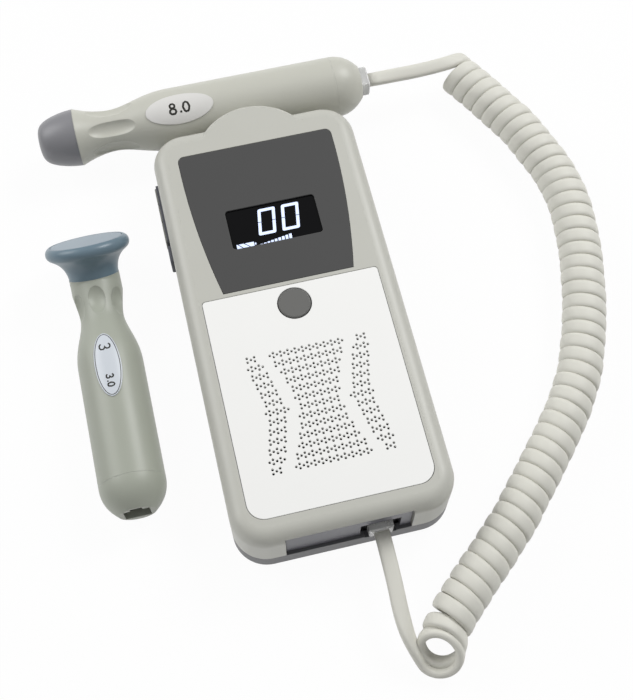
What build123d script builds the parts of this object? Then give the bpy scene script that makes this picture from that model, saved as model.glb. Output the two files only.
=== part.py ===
from build123d import *
import math
import os

# A hand-held fetal doppler: a flat battery unit with a display and a speaker, one pencil
# probe clipped across its top end and joined to it by a curly cord, and one spare
# disc-headed probe lying beside it. Millimetres. X is across the unit, +Y runs towards
# the clipped probe, +Z comes out of the face. The origin is the middle of the unit's back.

# Case
CASE_WIDTH = 70.0
CASE_LENGTH = 148.0
CASE_THICKNESS = 27.0
CORNER_RADIUS = 11.0
SEAM_HEIGHT = 9.0
SIDE_WALL = 2.2
FACE_WALL = 3.2
BACK_WALL = 2.4
FACE_EDGE_ROUND = 5.0
BACK_EDGE_ROUND = 2.0
FIT_GAP = 0.3
RUNNING_GAP = 0.05

# Speaker plate, display cover and their pockets in the face
PLATE_SIDE_MARGIN = 6.0
PLATE_FOOT_MARGIN = 7.6
PLATE_HEAD_REACH = 6.8
PLATE_THICKNESS = 1.1
PLATE_FOOT_RADIUS = 5.5
PLATE_HEAD_RADIUS = 1.2
PLATE_GAP = 0.15
COVER_FOOT_WIDTH = 43.0
COVER_HEAD_WIDTH = 53.0
COVER_FOOT_GAP = 1.6
COVER_HEAD_MARGIN = 10.6
COVER_SIDE_BULGE = 1.5
COVER_THICKNESS = 0.6
COVER_HEAD_RADIUS = 2.2
WINDOW_WIDTH = 30.4
WINDOW_HEIGHT = 14.8
WINDOW_CORNER_RADIUS = 1.2
WINDOW_FROM_HEAD = 42.0
LENS_THICKNESS = 1.4
LENS_BORDER = 1.3
LENS_LEDGE = 0.8

# Speaker and the holes over it
# The four lists below run from the grille's middle row to its outermost rows.
GRILLE_REACHES = (5, 6, 6, 7, 8, 9, 10)
GRILLE_ENDS_IN_PAIR = (True, False, True, True, False, True, False)
SIDE_BAND_REACHES = (3, 2, 2, 2, 2, 2, 1)
SIDE_BAND_ENDS_IN_PAIR = (False, True, True, True, True, False, True)
GRILLE_ROW_PITCH = 3.13
GRILLE_SHIFT = 4.6
SIDE_BAND_PLACE = 13.5
SIDE_BAND_FLARE = 4.3
SIDE_BAND_CURVE = 1.15
HOLE_RADIUS = 0.4
COLUMN_PITCH = 1.175
PAIR_REACH = 0.69
SPEAKER_RADIUS = 25.0
SPEAKER_FLANGE = 1.4
BASKET_DEPTH = 8.0
MAGNET_RADIUS = 12.5
MAGNET_DEPTH = 5.0
CONE_THICKNESS = 0.5
CLOTH_THICKNESS = 0.4
CLOTH_WIDTH = 44.0
CLOTH_LENGTH = 46.0

# Power button
BUTTON_RADIUS = 5.3
BUTTON_Y = 1.2
BUTTON_STAND = 0.4
BUTTON_TRAVEL = 0.6
BUTTON_FLANGE = 1.2
BUTTON_FLANGE_THICKNESS = 1.0
SWITCH_SIDE = 6.0
SWITCH_HEIGHT = 1.4

# Side keys and sound socket, on the left wall
KEY_NAMES = ("volume_up_key", "volume_down_key", "mode_key")
KEY_PLACES_FROM_HEAD = (19.5, 26.4, 34.0)
KEY_LENGTHS = (6.0, 6.0, 7.4)
KEY_HEIGHT = 5.6
KEY_CENTRE_Z = 17.6
KEY_STAND = 0.5
KEY_EDGE_ROUND = 0.4
KEY_TRAVEL = 0.5
KEY_STEM_HEIGHT = 3.0
KEY_STEM_INSET = 1.0
KEY_FLANGE = 0.9
BEZEL_THICKNESS = 0.8
BEZEL_HEIGHT = 8.0
BEZEL_MARGIN = 0.9
SOUND_SOCKET_FROM_HEAD = 42.9
SOUND_SOCKET_LENGTH = 7.6
SOUND_SOCKET_STAND = 1.1
SOUND_BORE_RADIUS = 1.8
SOUND_BODY_DEPTH = 12.0

# Boards, display module and batteries
BOARD_THICKNESS = 1.6
BOARD_TOP = 19.4
BOARD_SIDE_GAP = 2.8
BOARD_HEAD_GAP = 9.8
BOARD_FOOT_REACH = 7.7
FOOT_SCREW_INSET = 3.6
FOOT_SCREW_REACH = 4.8
HEAD_SCREW_INSET = 10.0
HEAD_SCREW_DROP = 5.0
BOSS_RADIUS = 3.0
SCREW_RADIUS = 1.1
SCREW_HEAD_RADIUS = 2.1
SCREW_HEAD_HEIGHT = 1.5
SCREW_SINK = 0.8
SLOT_WIDTH = 0.6
SLOT_DEPTH = 0.7
SLOT_LENGTH = 3.0
CASE_SCREW_INSET_X = 9.0
CASE_SCREW_INSET_Y = 6.4
CASE_SCREW_GRIP = 9.0
CHIP_SIDE = 10.0
CHIP_HEIGHT = 1.2
CHIP_DROP = 5.0
CHIP_BOSS_GAP = 1.0
AMPLIFIER_SIDE = 7.0
AMPLIFIER_BOSS_GAP = 3.0
PART_ROW_REACH = 8.6
CAPACITOR_RADIUS = 2.5
CAPACITOR_HEIGHT = 3.6
CAPACITOR_PITCH = 7.0
CHOKE_RADIUS = 3.0
CHOKE_HEIGHT = 2.6
CHOKE_INSET = 6.4
RESISTOR_LENGTH = 2.0
RESISTOR_WIDTH = 1.2
RESISTOR_HEIGHT = 0.6
RESISTOR_PITCH = 4.0
RESISTOR_STEPS = (2, 3, 4)
DISPLAY_WIDTH = 38.0
DISPLAY_HEIGHT = 24.0
DISPLAY_THICKNESS = 3.4
BATTERY_RADIUS = 7.25
BATTERY_LENGTH = 49.5
BATTERY_NUB_RADIUS = 2.75
BATTERY_NUB_LENGTH = 1.0
BATTERY_HEAD_GAP = 1.7
BATTERY_WALL = 1.2
SPRING_WIRE = 0.4
SPRING_LENGTH = 3.2
SPRING_RADIUS = 3.2
CONTACT_THICKNESS = 0.4
CONTACT_REACH = 5.0
DOOR_THICKNESS = 1.2
DOOR_MARGIN = 2.0
DOOR_TRAVEL = 6.0
DOOR_RIB = 0.9

# Bottom-end notch, its panel and the modular socket
NOTCH_WIDTH = 40.0
NOTCH_TOP = 24.4
PANEL_THICKNESS = 2.0
PANEL_MARGIN = 1.4
PANEL_TOP_LIP = 0.4
PANEL_PAD_SETBACK = 1.1
PANEL_PAD_GAP = 0.2
JACK_X = 10.0
JACK_Z = 12.8
JACK_WIDTH = 12.2
JACK_HEIGHT = 10.6
JACK_DEPTH = 15.0
JACK_BOARD_BOSS_GAP = 1.0
JACK_BOARD_LENGTH = 18.0
JACK_BOARD_SHIFT = 2.0
POST_RADIUS = 2.2
POST_INSET = 2.4
PLUG_WIDTH = 7.7
PLUG_HEIGHT = 6.4
PLUG_LENGTH = 14.4
PLUG_STAND = 3.2
PLUG_FIT = 0.3
LATCH_WIDTH = 3.2
LATCH_THICKNESS = 1.1
LATCH_LENGTH = 9.0
CONTACT_COUNT = 4
CONTACT_PITCH = 1.27
BLADE_THICKNESS = 0.4
BLADE_LENGTH = 3.0
BLADE_HEIGHT = 2.6

# Probes
PROBE_RADIUS = 10.7
PROBE_WAIST_RADIUS = 7.2
PENCIL_NECK = {"radius": 10.0, "slope": 0.42, "waist": 12.5, "shoulder": 34.0, "dimple": 12.5, "reach": 9.5}
SPARE_NECK = {"radius": 8.5, "slope": 0.15, "waist": 10.2, "shoulder": 28.0, "dimple": 7.0, "reach": 6.6}
PROBE_LENGTH = 102.6
SPARE_LENGTH = 78.8
TAIL_LENGTH = 10.0
TAIL_RADIUS = 5.9
TAIL_SLOPE = 1.1
PROBE_WALL = 1.7
NECK_BORE_RADIUS = 5.3
SPIGOT_LENGTH = 4.0
TAIL_WALL = 2.6
DIMPLE_COUNT = 6
PENCIL_DIMPLE_TURN = 30.0
DIMPLE_RADIUS = 5.0
DIMPLE_DEPTH = 1.2
LABEL_LENGTH = 24.0
LABEL_WIDTH = 10.5
LABEL_PLACE = 37.0
SPARE_LABEL_LENGTH = 22.6
SPARE_LABEL_WIDTH = 8.6
SPARE_LABEL_PLACE = 31.4
LABEL_THICKNESS = 0.25
LABEL_TILT = 18.0
TIP_LENGTH = 13.5
TIP_BELLY_PLACE = 6.4
TIP_BELLY_RADIUS = 9.0
TIP_NOSE_PLACE = 11.6
TIP_NOSE_RADIUS = 6.8
CRYSTAL_RADIUS = 3.2
CRYSTAL_THICKNESS = 0.6
HEAD_CANT = 38.0
HEAD_BEND_RADIUS = 9.2
HEAD_RADIUS = 14.2
HEAD_RIM = 4.2
HEAD_LENGTH = 12.0
FACE_DISC_RADIUS = 12.2
FACE_DISC_THICKNESS = 1.2
PAIR_CRYSTAL_RADIUS = 9.0
PROBE_BOARD_THICKNESS = 1.2
PROBE_BOARD_GAP = 1.0

# Where the probes lie, and the cradle of the clipped one
CRADLE_GAP = 0.35
CRADLE_PAD = 1.0
CRADLE_WIDTH = 28.0
CRADLE_STAND_OFF = 3.3
CRADLE_FLOOR = 1.0
PROBE_AXIS_Z = 15.0
PROBE_JOINT_X = -59.0
LOBE_WIDTH = 27.0
LOBE_REACH = 5.0
LOBE_THICKNESS = 5.6
LOBE_ROUND = 1.0
SPARE_X = -62.3
SPARE_NECK_Y = 28.0

# Cord
CORD_WIDTH = 5.0
COIL_DIAMETER = 15.0

FACE_Z = CASE_THICKNESS
CEILING_Z = CASE_THICKNESS - FACE_WALL
PLATE_FLOOR_Z = FACE_Z - PLATE_THICKNESS
COVER_FLOOR_Z = FACE_Z - COVER_THICKNESS
LENS_FLOOR_Z = COVER_FLOOR_Z - LENS_THICKNESS
HALF_LENGTH = CASE_LENGTH / 2
HALF_WIDTH = CASE_WIDTH / 2
INNER_FOOT_Y = SIDE_WALL - HALF_LENGTH
INNER_SIDE_X = SIDE_WALL - HALF_WIDTH
INNER_HEAD_Y = HALF_LENGTH - SIDE_WALL
PLATE_WIDTH = CASE_WIDTH - 2 * PLATE_SIDE_MARGIN
PLATE_FOOT_Y = PLATE_FOOT_MARGIN - HALF_LENGTH
PLATE_HEAD_Y = BUTTON_Y + PLATE_HEAD_REACH
PLATE_LENGTH = PLATE_HEAD_Y - PLATE_FOOT_Y
PLATE_CENTRE_Y = (PLATE_HEAD_Y + PLATE_FOOT_Y) / 2
COVER_FOOT_Y = PLATE_HEAD_Y + COVER_FOOT_GAP
COVER_HEAD_Y = HALF_LENGTH - COVER_HEAD_MARGIN
WINDOW_CENTRE_Y = HALF_LENGTH - WINDOW_FROM_HEAD
GRILLE_CENTRE_Y = PLATE_CENTRE_Y - GRILLE_SHIFT
KEY_PLACES = tuple(HALF_LENGTH - place for place in KEY_PLACES_FROM_HEAD)
SOUND_SOCKET_Y = HALF_LENGTH - SOUND_SOCKET_FROM_HEAD
BOARD_FLOOR = BOARD_TOP - BOARD_THICKNESS
BOARD_HALF_WIDTH = HALF_WIDTH - SIDE_WALL - BOARD_SIDE_GAP
BOARD_HEAD_Y = INNER_HEAD_Y - BOARD_HEAD_GAP
BOARD_FOOT_Y = BUTTON_Y - BOARD_FOOT_REACH
FOOT_SCREW_X = BOARD_HALF_WIDTH - FOOT_SCREW_INSET
HEAD_SCREW_X = BOARD_HALF_WIDTH - HEAD_SCREW_INSET
HEAD_BOSS_EDGE = HEAD_SCREW_X - BOSS_RADIUS
CHIP_X = HEAD_BOSS_EDGE - CHIP_BOSS_GAP - CHIP_SIDE
AMPLIFIER_X = AMPLIFIER_BOSS_GAP - HEAD_BOSS_EDGE
CHOKE_X = FOOT_SCREW_X - CHOKE_INSET
CAPACITOR_XS = (-CHOKE_X, CAPACITOR_PITCH - CHOKE_X)
RESISTOR_XS = tuple(CHOKE_X - step * RESISTOR_PITCH for step in RESISTOR_STEPS)
CASE_SCREW_X = HALF_WIDTH - CASE_SCREW_INSET_X
CASE_SCREW_Y = HALF_LENGTH - CASE_SCREW_INSET_Y
JACK_BOARD_WIDTH = 2 * (CASE_SCREW_X - BOSS_RADIUS - JACK_BOARD_BOSS_GAP - JACK_X)
PROBE_AXIS_Y = HALF_LENGTH + CRADLE_STAND_OFF + PROBE_RADIUS
CRADLE_RADIUS = PROBE_RADIUS + CRADLE_GAP
JACK_FACE_Y = INNER_FOOT_Y + 0.4
PLUG_BACK_Y = JACK_FACE_Y - PLUG_STAND
BAY_HEAD_Y = INNER_HEAD_Y - BATTERY_HEAD_GAP - BATTERY_WALL
BATTERY_HEAD_Y = BAY_HEAD_Y - CONTACT_THICKNESS - BATTERY_NUB_LENGTH
BATTERY_FOOT_Y = BATTERY_HEAD_Y - BATTERY_LENGTH
BATTERY_Z = BACK_WALL + 0.1 + BATTERY_RADIUS
BATTERY_X = BATTERY_RADIUS + 0.3
BAY_HALF_WIDTH = 2 * BATTERY_X
BAY_FOOT_Y = BATTERY_FOOT_Y - SPRING_LENGTH
DOOR_HALF_WIDTH = BAY_HALF_WIDTH + DOOR_MARGIN


def block(x0, x1, y0, y1, z0, z1):
    """A box from its two corners."""
    middle = Pos((x0 + x1) / 2, (y0 + y1) / 2, (z0 + z1) / 2)
    return middle * Box(abs(x1 - x0), abs(y1 - y0), abs(z1 - z0))


def rod(radius, z0, z1, x=0.0, y=0.0):
    """An upright round rod between two heights."""
    return Pos(x, y, (z0 + z1) / 2) * Cylinder(radius, z1 - z0)


def rounded_slab(width, length, radius, z0, z1, y=0.0):
    """A flat plate with rounded corners."""
    outline = Pos(0, y, z0) * RectangleRounded(width, length, radius)
    return extrude(outline, z1 - z0)


def soften_top(solid, radius):
    """Round the edges of a solid's highest face."""
    return fillet(solid.faces().sort_by(Axis.Z)[-1].edges(), radius)


def soften_bottom(solid, radius):
    """Round the edges of a solid's lowest face."""
    return fillet(solid.faces().sort_by(Axis.Z)[0].edges(), radius)


def all_solids(pieces):
    """Separate solids of one node, kept apart."""
    return Compound(children=[solid for piece in pieces for solid in piece.solids()])


# Face pieces --------------------------------------------------------------------------

def plate_blank(grow, z0, z1):
    """The speaker plate's outline: small radii at its head, larger ones at its foot."""
    width = PLATE_WIDTH + 2 * grow
    length = PLATE_LENGTH + 2 * grow
    foot_y = PLATE_CENTRE_Y - length / 2
    plate = block(-width / 2, width / 2, foot_y, foot_y + length, z0, z1)
    upright = plate.edges().filter_by(Axis.Z).sort_by(Axis.Y)
    plate = fillet(upright[:2], PLATE_FOOT_RADIUS)
    upright = plate.edges().filter_by(Axis.Z).sort_by(Axis.Y)
    return fillet(upright[-2:], PLATE_HEAD_RADIUS)


def hole_row(centre_x, row_y, reach, ends_in_pair):
    """One row: single holes on its line alternate with pairs above and below it."""
    places = []
    for step in range(-reach, reach + 1):
        x = centre_x + step * COLUMN_PITCH
        like_the_end = (reach - abs(step)) % 2 == 0
        if like_the_end == ends_in_pair:
            places += [(x, row_y + PAIR_REACH), (x, row_y - PAIR_REACH)]
        else:
            places.append((x, row_y))
    return places


def grille_places():
    """Hole centres: an hourglass of rows between two narrow side bands that bow inwards."""
    places = []
    outer_row = len(GRILLE_REACHES) - 1
    for row in range(-outer_row, outer_row + 1):
        out = abs(row)
        row_y = GRILLE_CENTRE_Y + row * GRILLE_ROW_PITCH
        side_place = SIDE_BAND_PLACE + SIDE_BAND_FLARE * (out / outer_row) ** SIDE_BAND_CURVE
        places += hole_row(0.0, row_y, GRILLE_REACHES[out], GRILLE_ENDS_IN_PAIR[out])
        for side in (-1, 1):
            places += hole_row(
                side * side_place, row_y, SIDE_BAND_REACHES[out], SIDE_BAND_ENDS_IN_PAIR[out],
            )
    return places


def speaker_plate():
    plate = plate_blank(0.0, PLATE_FLOOR_Z, FACE_Z)
    plate -= rod(BUTTON_RADIUS + FIT_GAP, PLATE_FLOOR_Z, FACE_Z, 0, BUTTON_Y)
    holes = Sketch() + [Pos(x, y) * Circle(HOLE_RADIUS) for x, y in grille_places()]
    return plate - Pos(0, 0, PLATE_FLOOR_Z) * extrude(holes, PLATE_THICKNESS)


def cover_outline(grow):
    """The display cover: a panel that narrows downwards between two curved sides."""
    foot = COVER_FOOT_WIDTH / 2 + grow
    head = COVER_HEAD_WIDTH / 2 + grow
    foot_y = COVER_FOOT_Y - grow
    head_y = COVER_HEAD_Y + grow
    middle_x = (foot + head) / 2 + COVER_SIDE_BULGE
    middle_y = (foot_y + head_y) / 2
    right = ThreePointArc((foot, foot_y), (middle_x, middle_y), (head, head_y))
    left = ThreePointArc((-head, head_y), (-middle_x, middle_y), (-foot, foot_y))
    top = Line((head, head_y), (-head, head_y))
    bottom = Line((-foot, foot_y), (foot, foot_y))
    face = make_face(Curve() + [right, top, left, bottom])
    return fillet(face.vertices().sort_by(Axis.Y)[-2:], COVER_HEAD_RADIUS)


def display_cover():
    cover = Pos(0, 0, COVER_FLOOR_Z) * extrude(cover_outline(0.0), COVER_THICKNESS)
    window = block(
        -WINDOW_WIDTH / 2, WINDOW_WIDTH / 2,
        WINDOW_CENTRE_Y - WINDOW_HEIGHT / 2, WINDOW_CENTRE_Y + WINDOW_HEIGHT / 2,
        COVER_FLOOR_Z, FACE_Z,
    )
    return cover - fillet(window.edges().filter_by(Axis.Z), WINDOW_CORNER_RADIUS)


def window_block(grow, z0, z1):
    """A block over the display window, grown or shrunk all round."""
    half_width = WINDOW_WIDTH / 2 + grow
    half_height = WINDOW_HEIGHT / 2 + grow
    return block(
        -half_width, half_width,
        WINDOW_CENTRE_Y - half_height, WINDOW_CENTRE_Y + half_height, z0, z1,
    )


def display_lens():
    return window_block(LENS_BORDER, LENS_FLOOR_Z, COVER_FLOOR_Z)


def display_module():
    z0 = BOARD_TOP
    frame = block(
        -DISPLAY_WIDTH / 2, DISPLAY_WIDTH / 2,
        WINDOW_CENTRE_Y - DISPLAY_HEIGHT / 2, WINDOW_CENTRE_Y + DISPLAY_HEIGHT / 2,
        z0, z0 + DISPLAY_THICKNESS,
    )
    return chamfer(frame.faces().sort_by(Axis.Z)[-1].edges(), 0.4)


def speaker_cloth():
    z1 = PLATE_FLOOR_Z
    return rounded_slab(CLOTH_WIDTH, CLOTH_LENGTH, 4.0, z1 - CLOTH_THICKNESS, z1, GRILLE_CENTRE_Y)


# Case shells --------------------------------------------------------------------------

def key_cut(index, grow, x0, x1, height):
    """The room a side key's cap or stem takes in the wall."""
    half = KEY_LENGTHS[index] / 2 + grow
    return block(
        x0, x1, KEY_PLACES[index] - half, KEY_PLACES[index] + half,
        KEY_CENTRE_Z - height / 2 - grow, KEY_CENTRE_Z + height / 2 + grow,
    )


def front_case():
    shell = rounded_slab(CASE_WIDTH, CASE_LENGTH, CORNER_RADIUS, SEAM_HEIGHT, FACE_Z)
    shell = soften_top(shell, FACE_EDGE_ROUND)
    lobe_radius = ((LOBE_WIDTH / 2) ** 2 + LOBE_REACH ** 2) / (2 * LOBE_REACH)
    lobe = rod(lobe_radius, FACE_Z - LOBE_THICKNESS, FACE_Z, 0, HALF_LENGTH + LOBE_REACH - lobe_radius)
    shell += soften_top(lobe, LOBE_ROUND)
    hollow = rounded_slab(
        CASE_WIDTH - 2 * SIDE_WALL, CASE_LENGTH - 2 * SIDE_WALL,
        CORNER_RADIUS - SIDE_WALL, SEAM_HEIGHT, CEILING_Z,
    )
    shell -= soften_top(hollow, FACE_EDGE_ROUND - SIDE_WALL)
    shell -= probe_room(CRADLE_RADIUS)
    shell -= plate_blank(PLATE_GAP, PLATE_FLOOR_Z, FACE_Z + 1)
    shell -= Pos(0, 0, COVER_FLOOR_Z) * extrude(cover_outline(PLATE_GAP), COVER_THICKNESS + 1)
    shell -= rounded_slab(
        CLOTH_WIDTH + FIT_GAP, CLOTH_LENGTH + FIT_GAP, 4.0,
        PLATE_FLOOR_Z - CLOTH_THICKNESS, FACE_Z, GRILLE_CENTRE_Y,
    )
    shell -= rod(SPEAKER_RADIUS - 3.0, CEILING_Z, FACE_Z, 0, GRILLE_CENTRE_Y)
    shell -= window_block(LENS_BORDER + PLATE_GAP, LENS_FLOOR_Z, FACE_Z)
    shell -= window_block(LENS_BORDER - LENS_LEDGE, CEILING_Z, FACE_Z)
    shell -= rod(BUTTON_RADIUS + FIT_GAP, CEILING_Z, FACE_Z, 0, BUTTON_Y)
    for index in range(len(KEY_NAMES)):
        shell -= key_cut(
            index, RUNNING_GAP - KEY_STEM_INSET, -HALF_WIDTH - 1, INNER_SIDE_X + 1,
            KEY_STEM_HEIGHT + 2 * KEY_STEM_INSET,
        )
    shell -= sound_bore(SOUND_BORE_RADIUS + 1.2, -HALF_WIDTH - 1, INNER_SIDE_X + 1)
    shell -= block(
        -NOTCH_WIDTH / 2, NOTCH_WIDTH / 2, -HALF_LENGTH - 1, INNER_FOOT_Y + 1, SEAM_HEIGHT, NOTCH_TOP,
    )
    shell -= panel_block(SEAM_HEIGHT)
    for x, y in board_screw_places():
        shell += rod(BOSS_RADIUS, BOARD_TOP, CEILING_Z, x, y)
        shell -= rod(SCREW_RADIUS, BOARD_TOP, CEILING_Z - 0.5, x, y)
    for x, y in case_screw_places():
        shell += rod(BOSS_RADIUS, SEAM_HEIGHT, CEILING_Z, x, y)
        shell -= rod(SCREW_RADIUS, SEAM_HEIGHT, CEILING_Z - 2.0, x, y)
    return shell


def board_screw_places():
    foot = (FOOT_SCREW_X, BUTTON_Y + FOOT_SCREW_REACH)
    head = (HEAD_SCREW_X, BOARD_HEAD_Y - HEAD_SCREW_DROP)
    return [(side * x, y) for side in (-1, 1) for x, y in (foot, head)]


def case_screw_places():
    return [(side * CASE_SCREW_X, end * CASE_SCREW_Y) for side in (-1, 1) for end in (-1, 1)]


def probe_room(radius):
    """The round room the clipped probe needs across the top end."""
    reach = CASE_WIDTH
    return Pos(0, PROBE_AXIS_Y, PROBE_AXIS_Z) * Rot(0, 90, 0) * Cylinder(radius, reach)


def back_case():
    shell = rounded_slab(CASE_WIDTH, CASE_LENGTH, CORNER_RADIUS, 0, SEAM_HEIGHT)
    shell = soften_bottom(shell, BACK_EDGE_ROUND)
    hollow = rounded_slab(
        CASE_WIDTH - 2 * SIDE_WALL, CASE_LENGTH - 2 * SIDE_WALL,
        CORNER_RADIUS - SIDE_WALL, BACK_WALL, SEAM_HEIGHT,
    )
    shell -= hollow
    bay_top = BOARD_FLOOR - FIT_GAP
    outer = block(
        -BAY_HALF_WIDTH - BATTERY_WALL, BAY_HALF_WIDTH + BATTERY_WALL,
        BAY_FOOT_Y - BATTERY_WALL, BAY_HEAD_Y + BATTERY_WALL, BACK_WALL, bay_top,
    )
    shell += outer
    shell -= block(-BAY_HALF_WIDTH, BAY_HALF_WIDTH, BAY_FOOT_Y, BAY_HEAD_Y, 0, bay_top)
    shell -= door_block(FIT_GAP, 0, DOOR_THICKNESS + FIT_GAP / 2, DOOR_TRAVEL)
    for x, y in case_screw_places():
        shell += rod(BOSS_RADIUS, BACK_WALL, SEAM_HEIGHT, x, y)
        shell -= rod(SCREW_RADIUS + RUNNING_GAP, 0, SEAM_HEIGHT, x, y)
        shell -= rod(SCREW_HEAD_RADIUS + RUNNING_GAP, 0, SCREW_HEAD_HEIGHT + SCREW_SINK, x, y)
    for x, y in jack_board_posts():
        shell += rod(POST_RADIUS, BACK_WALL, JACK_Z - JACK_HEIGHT / 2 - BOARD_THICKNESS, x, y)
    half_room = PLUG_WIDTH / 2 + 1.3
    shell -= block(
        JACK_X - half_room, JACK_X + half_room, -HALF_LENGTH - 1, INNER_FOOT_Y + 1,
        JACK_Z - PLUG_HEIGHT / 2 - 1.3, SEAM_HEIGHT,
    )
    return shell


def door_block(grow, z0, z1, extra=0.0):
    """The battery door's outline, with extra room towards the foot for its slide."""
    half = DOOR_HALF_WIDTH + grow
    door = block(
        -half, half, BAY_FOOT_Y - DOOR_MARGIN - grow - extra, BAY_HEAD_Y + DOOR_MARGIN + grow, z0, z1,
    )
    return fillet(door.edges().filter_by(Axis.Z), 2.0 + grow)


def battery_door():
    door = door_block(0.0, 0, DOOR_THICKNESS)
    rib_half = BAY_HALF_WIDTH - FIT_GAP
    ribs = block(
        -rib_half, rib_half, BAY_FOOT_Y + DOOR_TRAVEL + FIT_GAP, BAY_HEAD_Y - FIT_GAP,
        DOOR_THICKNESS, DOOR_THICKNESS + DOOR_RIB,
    )
    return door + ribs


def panel_block(z0):
    """The end panel's outline, which also cuts its seat behind the notch."""
    half = NOTCH_WIDTH / 2 + PANEL_MARGIN
    top = NOTCH_TOP + PANEL_TOP_LIP
    return block(-half, half, INNER_FOOT_Y, INNER_FOOT_Y + PANEL_THICKNESS, z0, top)


def end_panel():
    """The panel behind the notch, with a raised pad that almost fills it."""
    gap = FIT_GAP
    half_pad = NOTCH_WIDTH / 2 - PANEL_PAD_GAP
    pad_face_y = PANEL_PAD_SETBACK - HALF_LENGTH
    pad = block(
        -half_pad, half_pad, pad_face_y, INNER_FOOT_Y + PANEL_THICKNESS,
        SEAM_HEIGHT + PANEL_PAD_GAP, NOTCH_TOP - PANEL_PAD_GAP,
    )
    jack_room = block(
        JACK_X - JACK_WIDTH / 2 - gap, JACK_X + JACK_WIDTH / 2 + gap,
        pad_face_y - 1, INNER_FOOT_Y + PANEL_THICKNESS + 1,
        JACK_Z - JACK_HEIGHT / 2 - gap, JACK_Z + JACK_HEIGHT / 2 + gap,
    )
    return panel_block(SEAM_HEIGHT - PANEL_MARGIN) + pad - jack_room


def probe_cradle():
    """The lower arm of the clip, under the probe, with a seat for its rubber pad."""
    half = CRADLE_WIDTH / 2
    arm = block(-half, half, HALF_LENGTH, PROBE_AXIS_Y, CRADLE_FLOOR, PROBE_AXIS_Z)
    arm = fillet(arm.faces().sort_by(Axis.Y)[-1].edges().sort_by(Axis.Z)[:1], 0.5)
    return arm - probe_room(CRADLE_RADIUS + CRADLE_PAD)


def cradle_pad():
    half = CRADLE_WIDTH / 2 - 1.0
    quarter = block(
        -half, half, HALF_LENGTH + FIT_GAP, PROBE_AXIS_Y, CRADLE_FLOOR, PROBE_AXIS_Z,
    )
    ring = probe_room(CRADLE_RADIUS + CRADLE_PAD) - probe_room(CRADLE_RADIUS)
    return ring & quarter


# Controls -----------------------------------------------------------------------------

def power_button():
    cap = rod(BUTTON_RADIUS, CEILING_Z - FIT_GAP, FACE_Z + BUTTON_STAND, 0, BUTTON_Y)
    cap = soften_top(cap, 0.5)
    flange_top = CEILING_Z - FIT_GAP
    flange = rod(
        BUTTON_RADIUS + BUTTON_FLANGE, flange_top - BUTTON_FLANGE_THICKNESS, flange_top, 0, BUTTON_Y,
    )
    stem = rod(2.0, BOARD_TOP + SWITCH_HEIGHT + BUTTON_TRAVEL + 0.2, flange_top, 0, BUTTON_Y)
    return cap + flange + stem


def power_switch():
    half = SWITCH_SIDE / 2
    body = block(-half, half, BUTTON_Y - half, BUTTON_Y + half, BOARD_TOP, BOARD_TOP + SWITCH_HEIGHT - 0.3)
    return body + rod(1.7, BOARD_TOP, BOARD_TOP + SWITCH_HEIGHT, 0, BUTTON_Y)


def side_key(index):
    """A key on the left wall: its cap outside, a stem through the wall and a flange inside."""
    outside = -HALF_WIDTH - BEZEL_THICKNESS
    cap = key_cut(index, 0.0, outside - KEY_STAND, outside + 0.1, KEY_HEIGHT)
    cap = fillet(cap.faces().sort_by(Axis.X)[0].edges(), KEY_EDGE_ROUND)
    seat = key_cut(index, 0.0, outside, -HALF_WIDTH - KEY_TRAVEL - 0.1, KEY_HEIGHT)
    flange_x = INNER_SIDE_X + FIT_GAP
    stem = key_cut(
        index, -KEY_STEM_INSET, outside, flange_x, KEY_STEM_HEIGHT + 2 * KEY_STEM_INSET,
    )
    flange = key_cut(index, 0.0, flange_x, flange_x + KEY_FLANGE, KEY_HEIGHT + 2.0)
    return cap + seat + stem + flange


def key_bezel():
    outside = -HALF_WIDTH - BEZEL_THICKNESS
    half = BEZEL_HEIGHT / 2
    head_y = KEY_PLACES[0] + KEY_LENGTHS[0] / 2 + BEZEL_MARGIN
    foot_y = KEY_PLACES[-1] - KEY_LENGTHS[-1] / 2 - BEZEL_MARGIN
    bezel = block(outside, -HALF_WIDTH, foot_y, head_y, KEY_CENTRE_Z - half, KEY_CENTRE_Z + half)
    bezel = fillet(bezel.edges().filter_by(Axis.X), 1.5)
    for index in range(len(KEY_NAMES)):
        bezel -= key_cut(index, 0.2, outside - 1, -HALF_WIDTH, KEY_HEIGHT)
    return bezel


def key_switches():
    bodies = []
    flange_x = INNER_SIDE_X + FIT_GAP + KEY_FLANGE
    for y in KEY_PLACES:
        front = flange_x + KEY_TRAVEL + 0.2
        body = block(front + 0.4, front + 3.2, y - 2.2, y + 2.2, BOARD_TOP, BOARD_TOP + 2.4)
        tip = block(front, front + 0.4, y - 1.1, y + 1.1, BOARD_TOP + 0.2, BOARD_TOP + 1.8)
        bodies.append(body + tip)
    return all_solids(bodies)


def sound_bore(radius, x0, x1):
    """A round bar along X at the sound socket."""
    centre = Pos((x0 + x1) / 2, SOUND_SOCKET_Y, BOARD_FLOOR - 2.5)
    return centre * Rot(0, 90, 0) * Cylinder(radius, abs(x1 - x0))


def sound_socket():
    front = -HALF_WIDTH + 0.2
    depth = front + SOUND_BODY_DEPTH
    collar = sound_bore(SOUND_BORE_RADIUS + 1.1, front, INNER_SIDE_X + 1)
    body = block(
        INNER_SIDE_X + FIT_GAP, depth, SOUND_SOCKET_Y - 3.0, SOUND_SOCKET_Y + 3.0,
        BOARD_FLOOR - 5.0, BOARD_FLOOR,
    )
    return collar + body - sound_bore(SOUND_BORE_RADIUS, front - 1, depth - 1.5)


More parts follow.
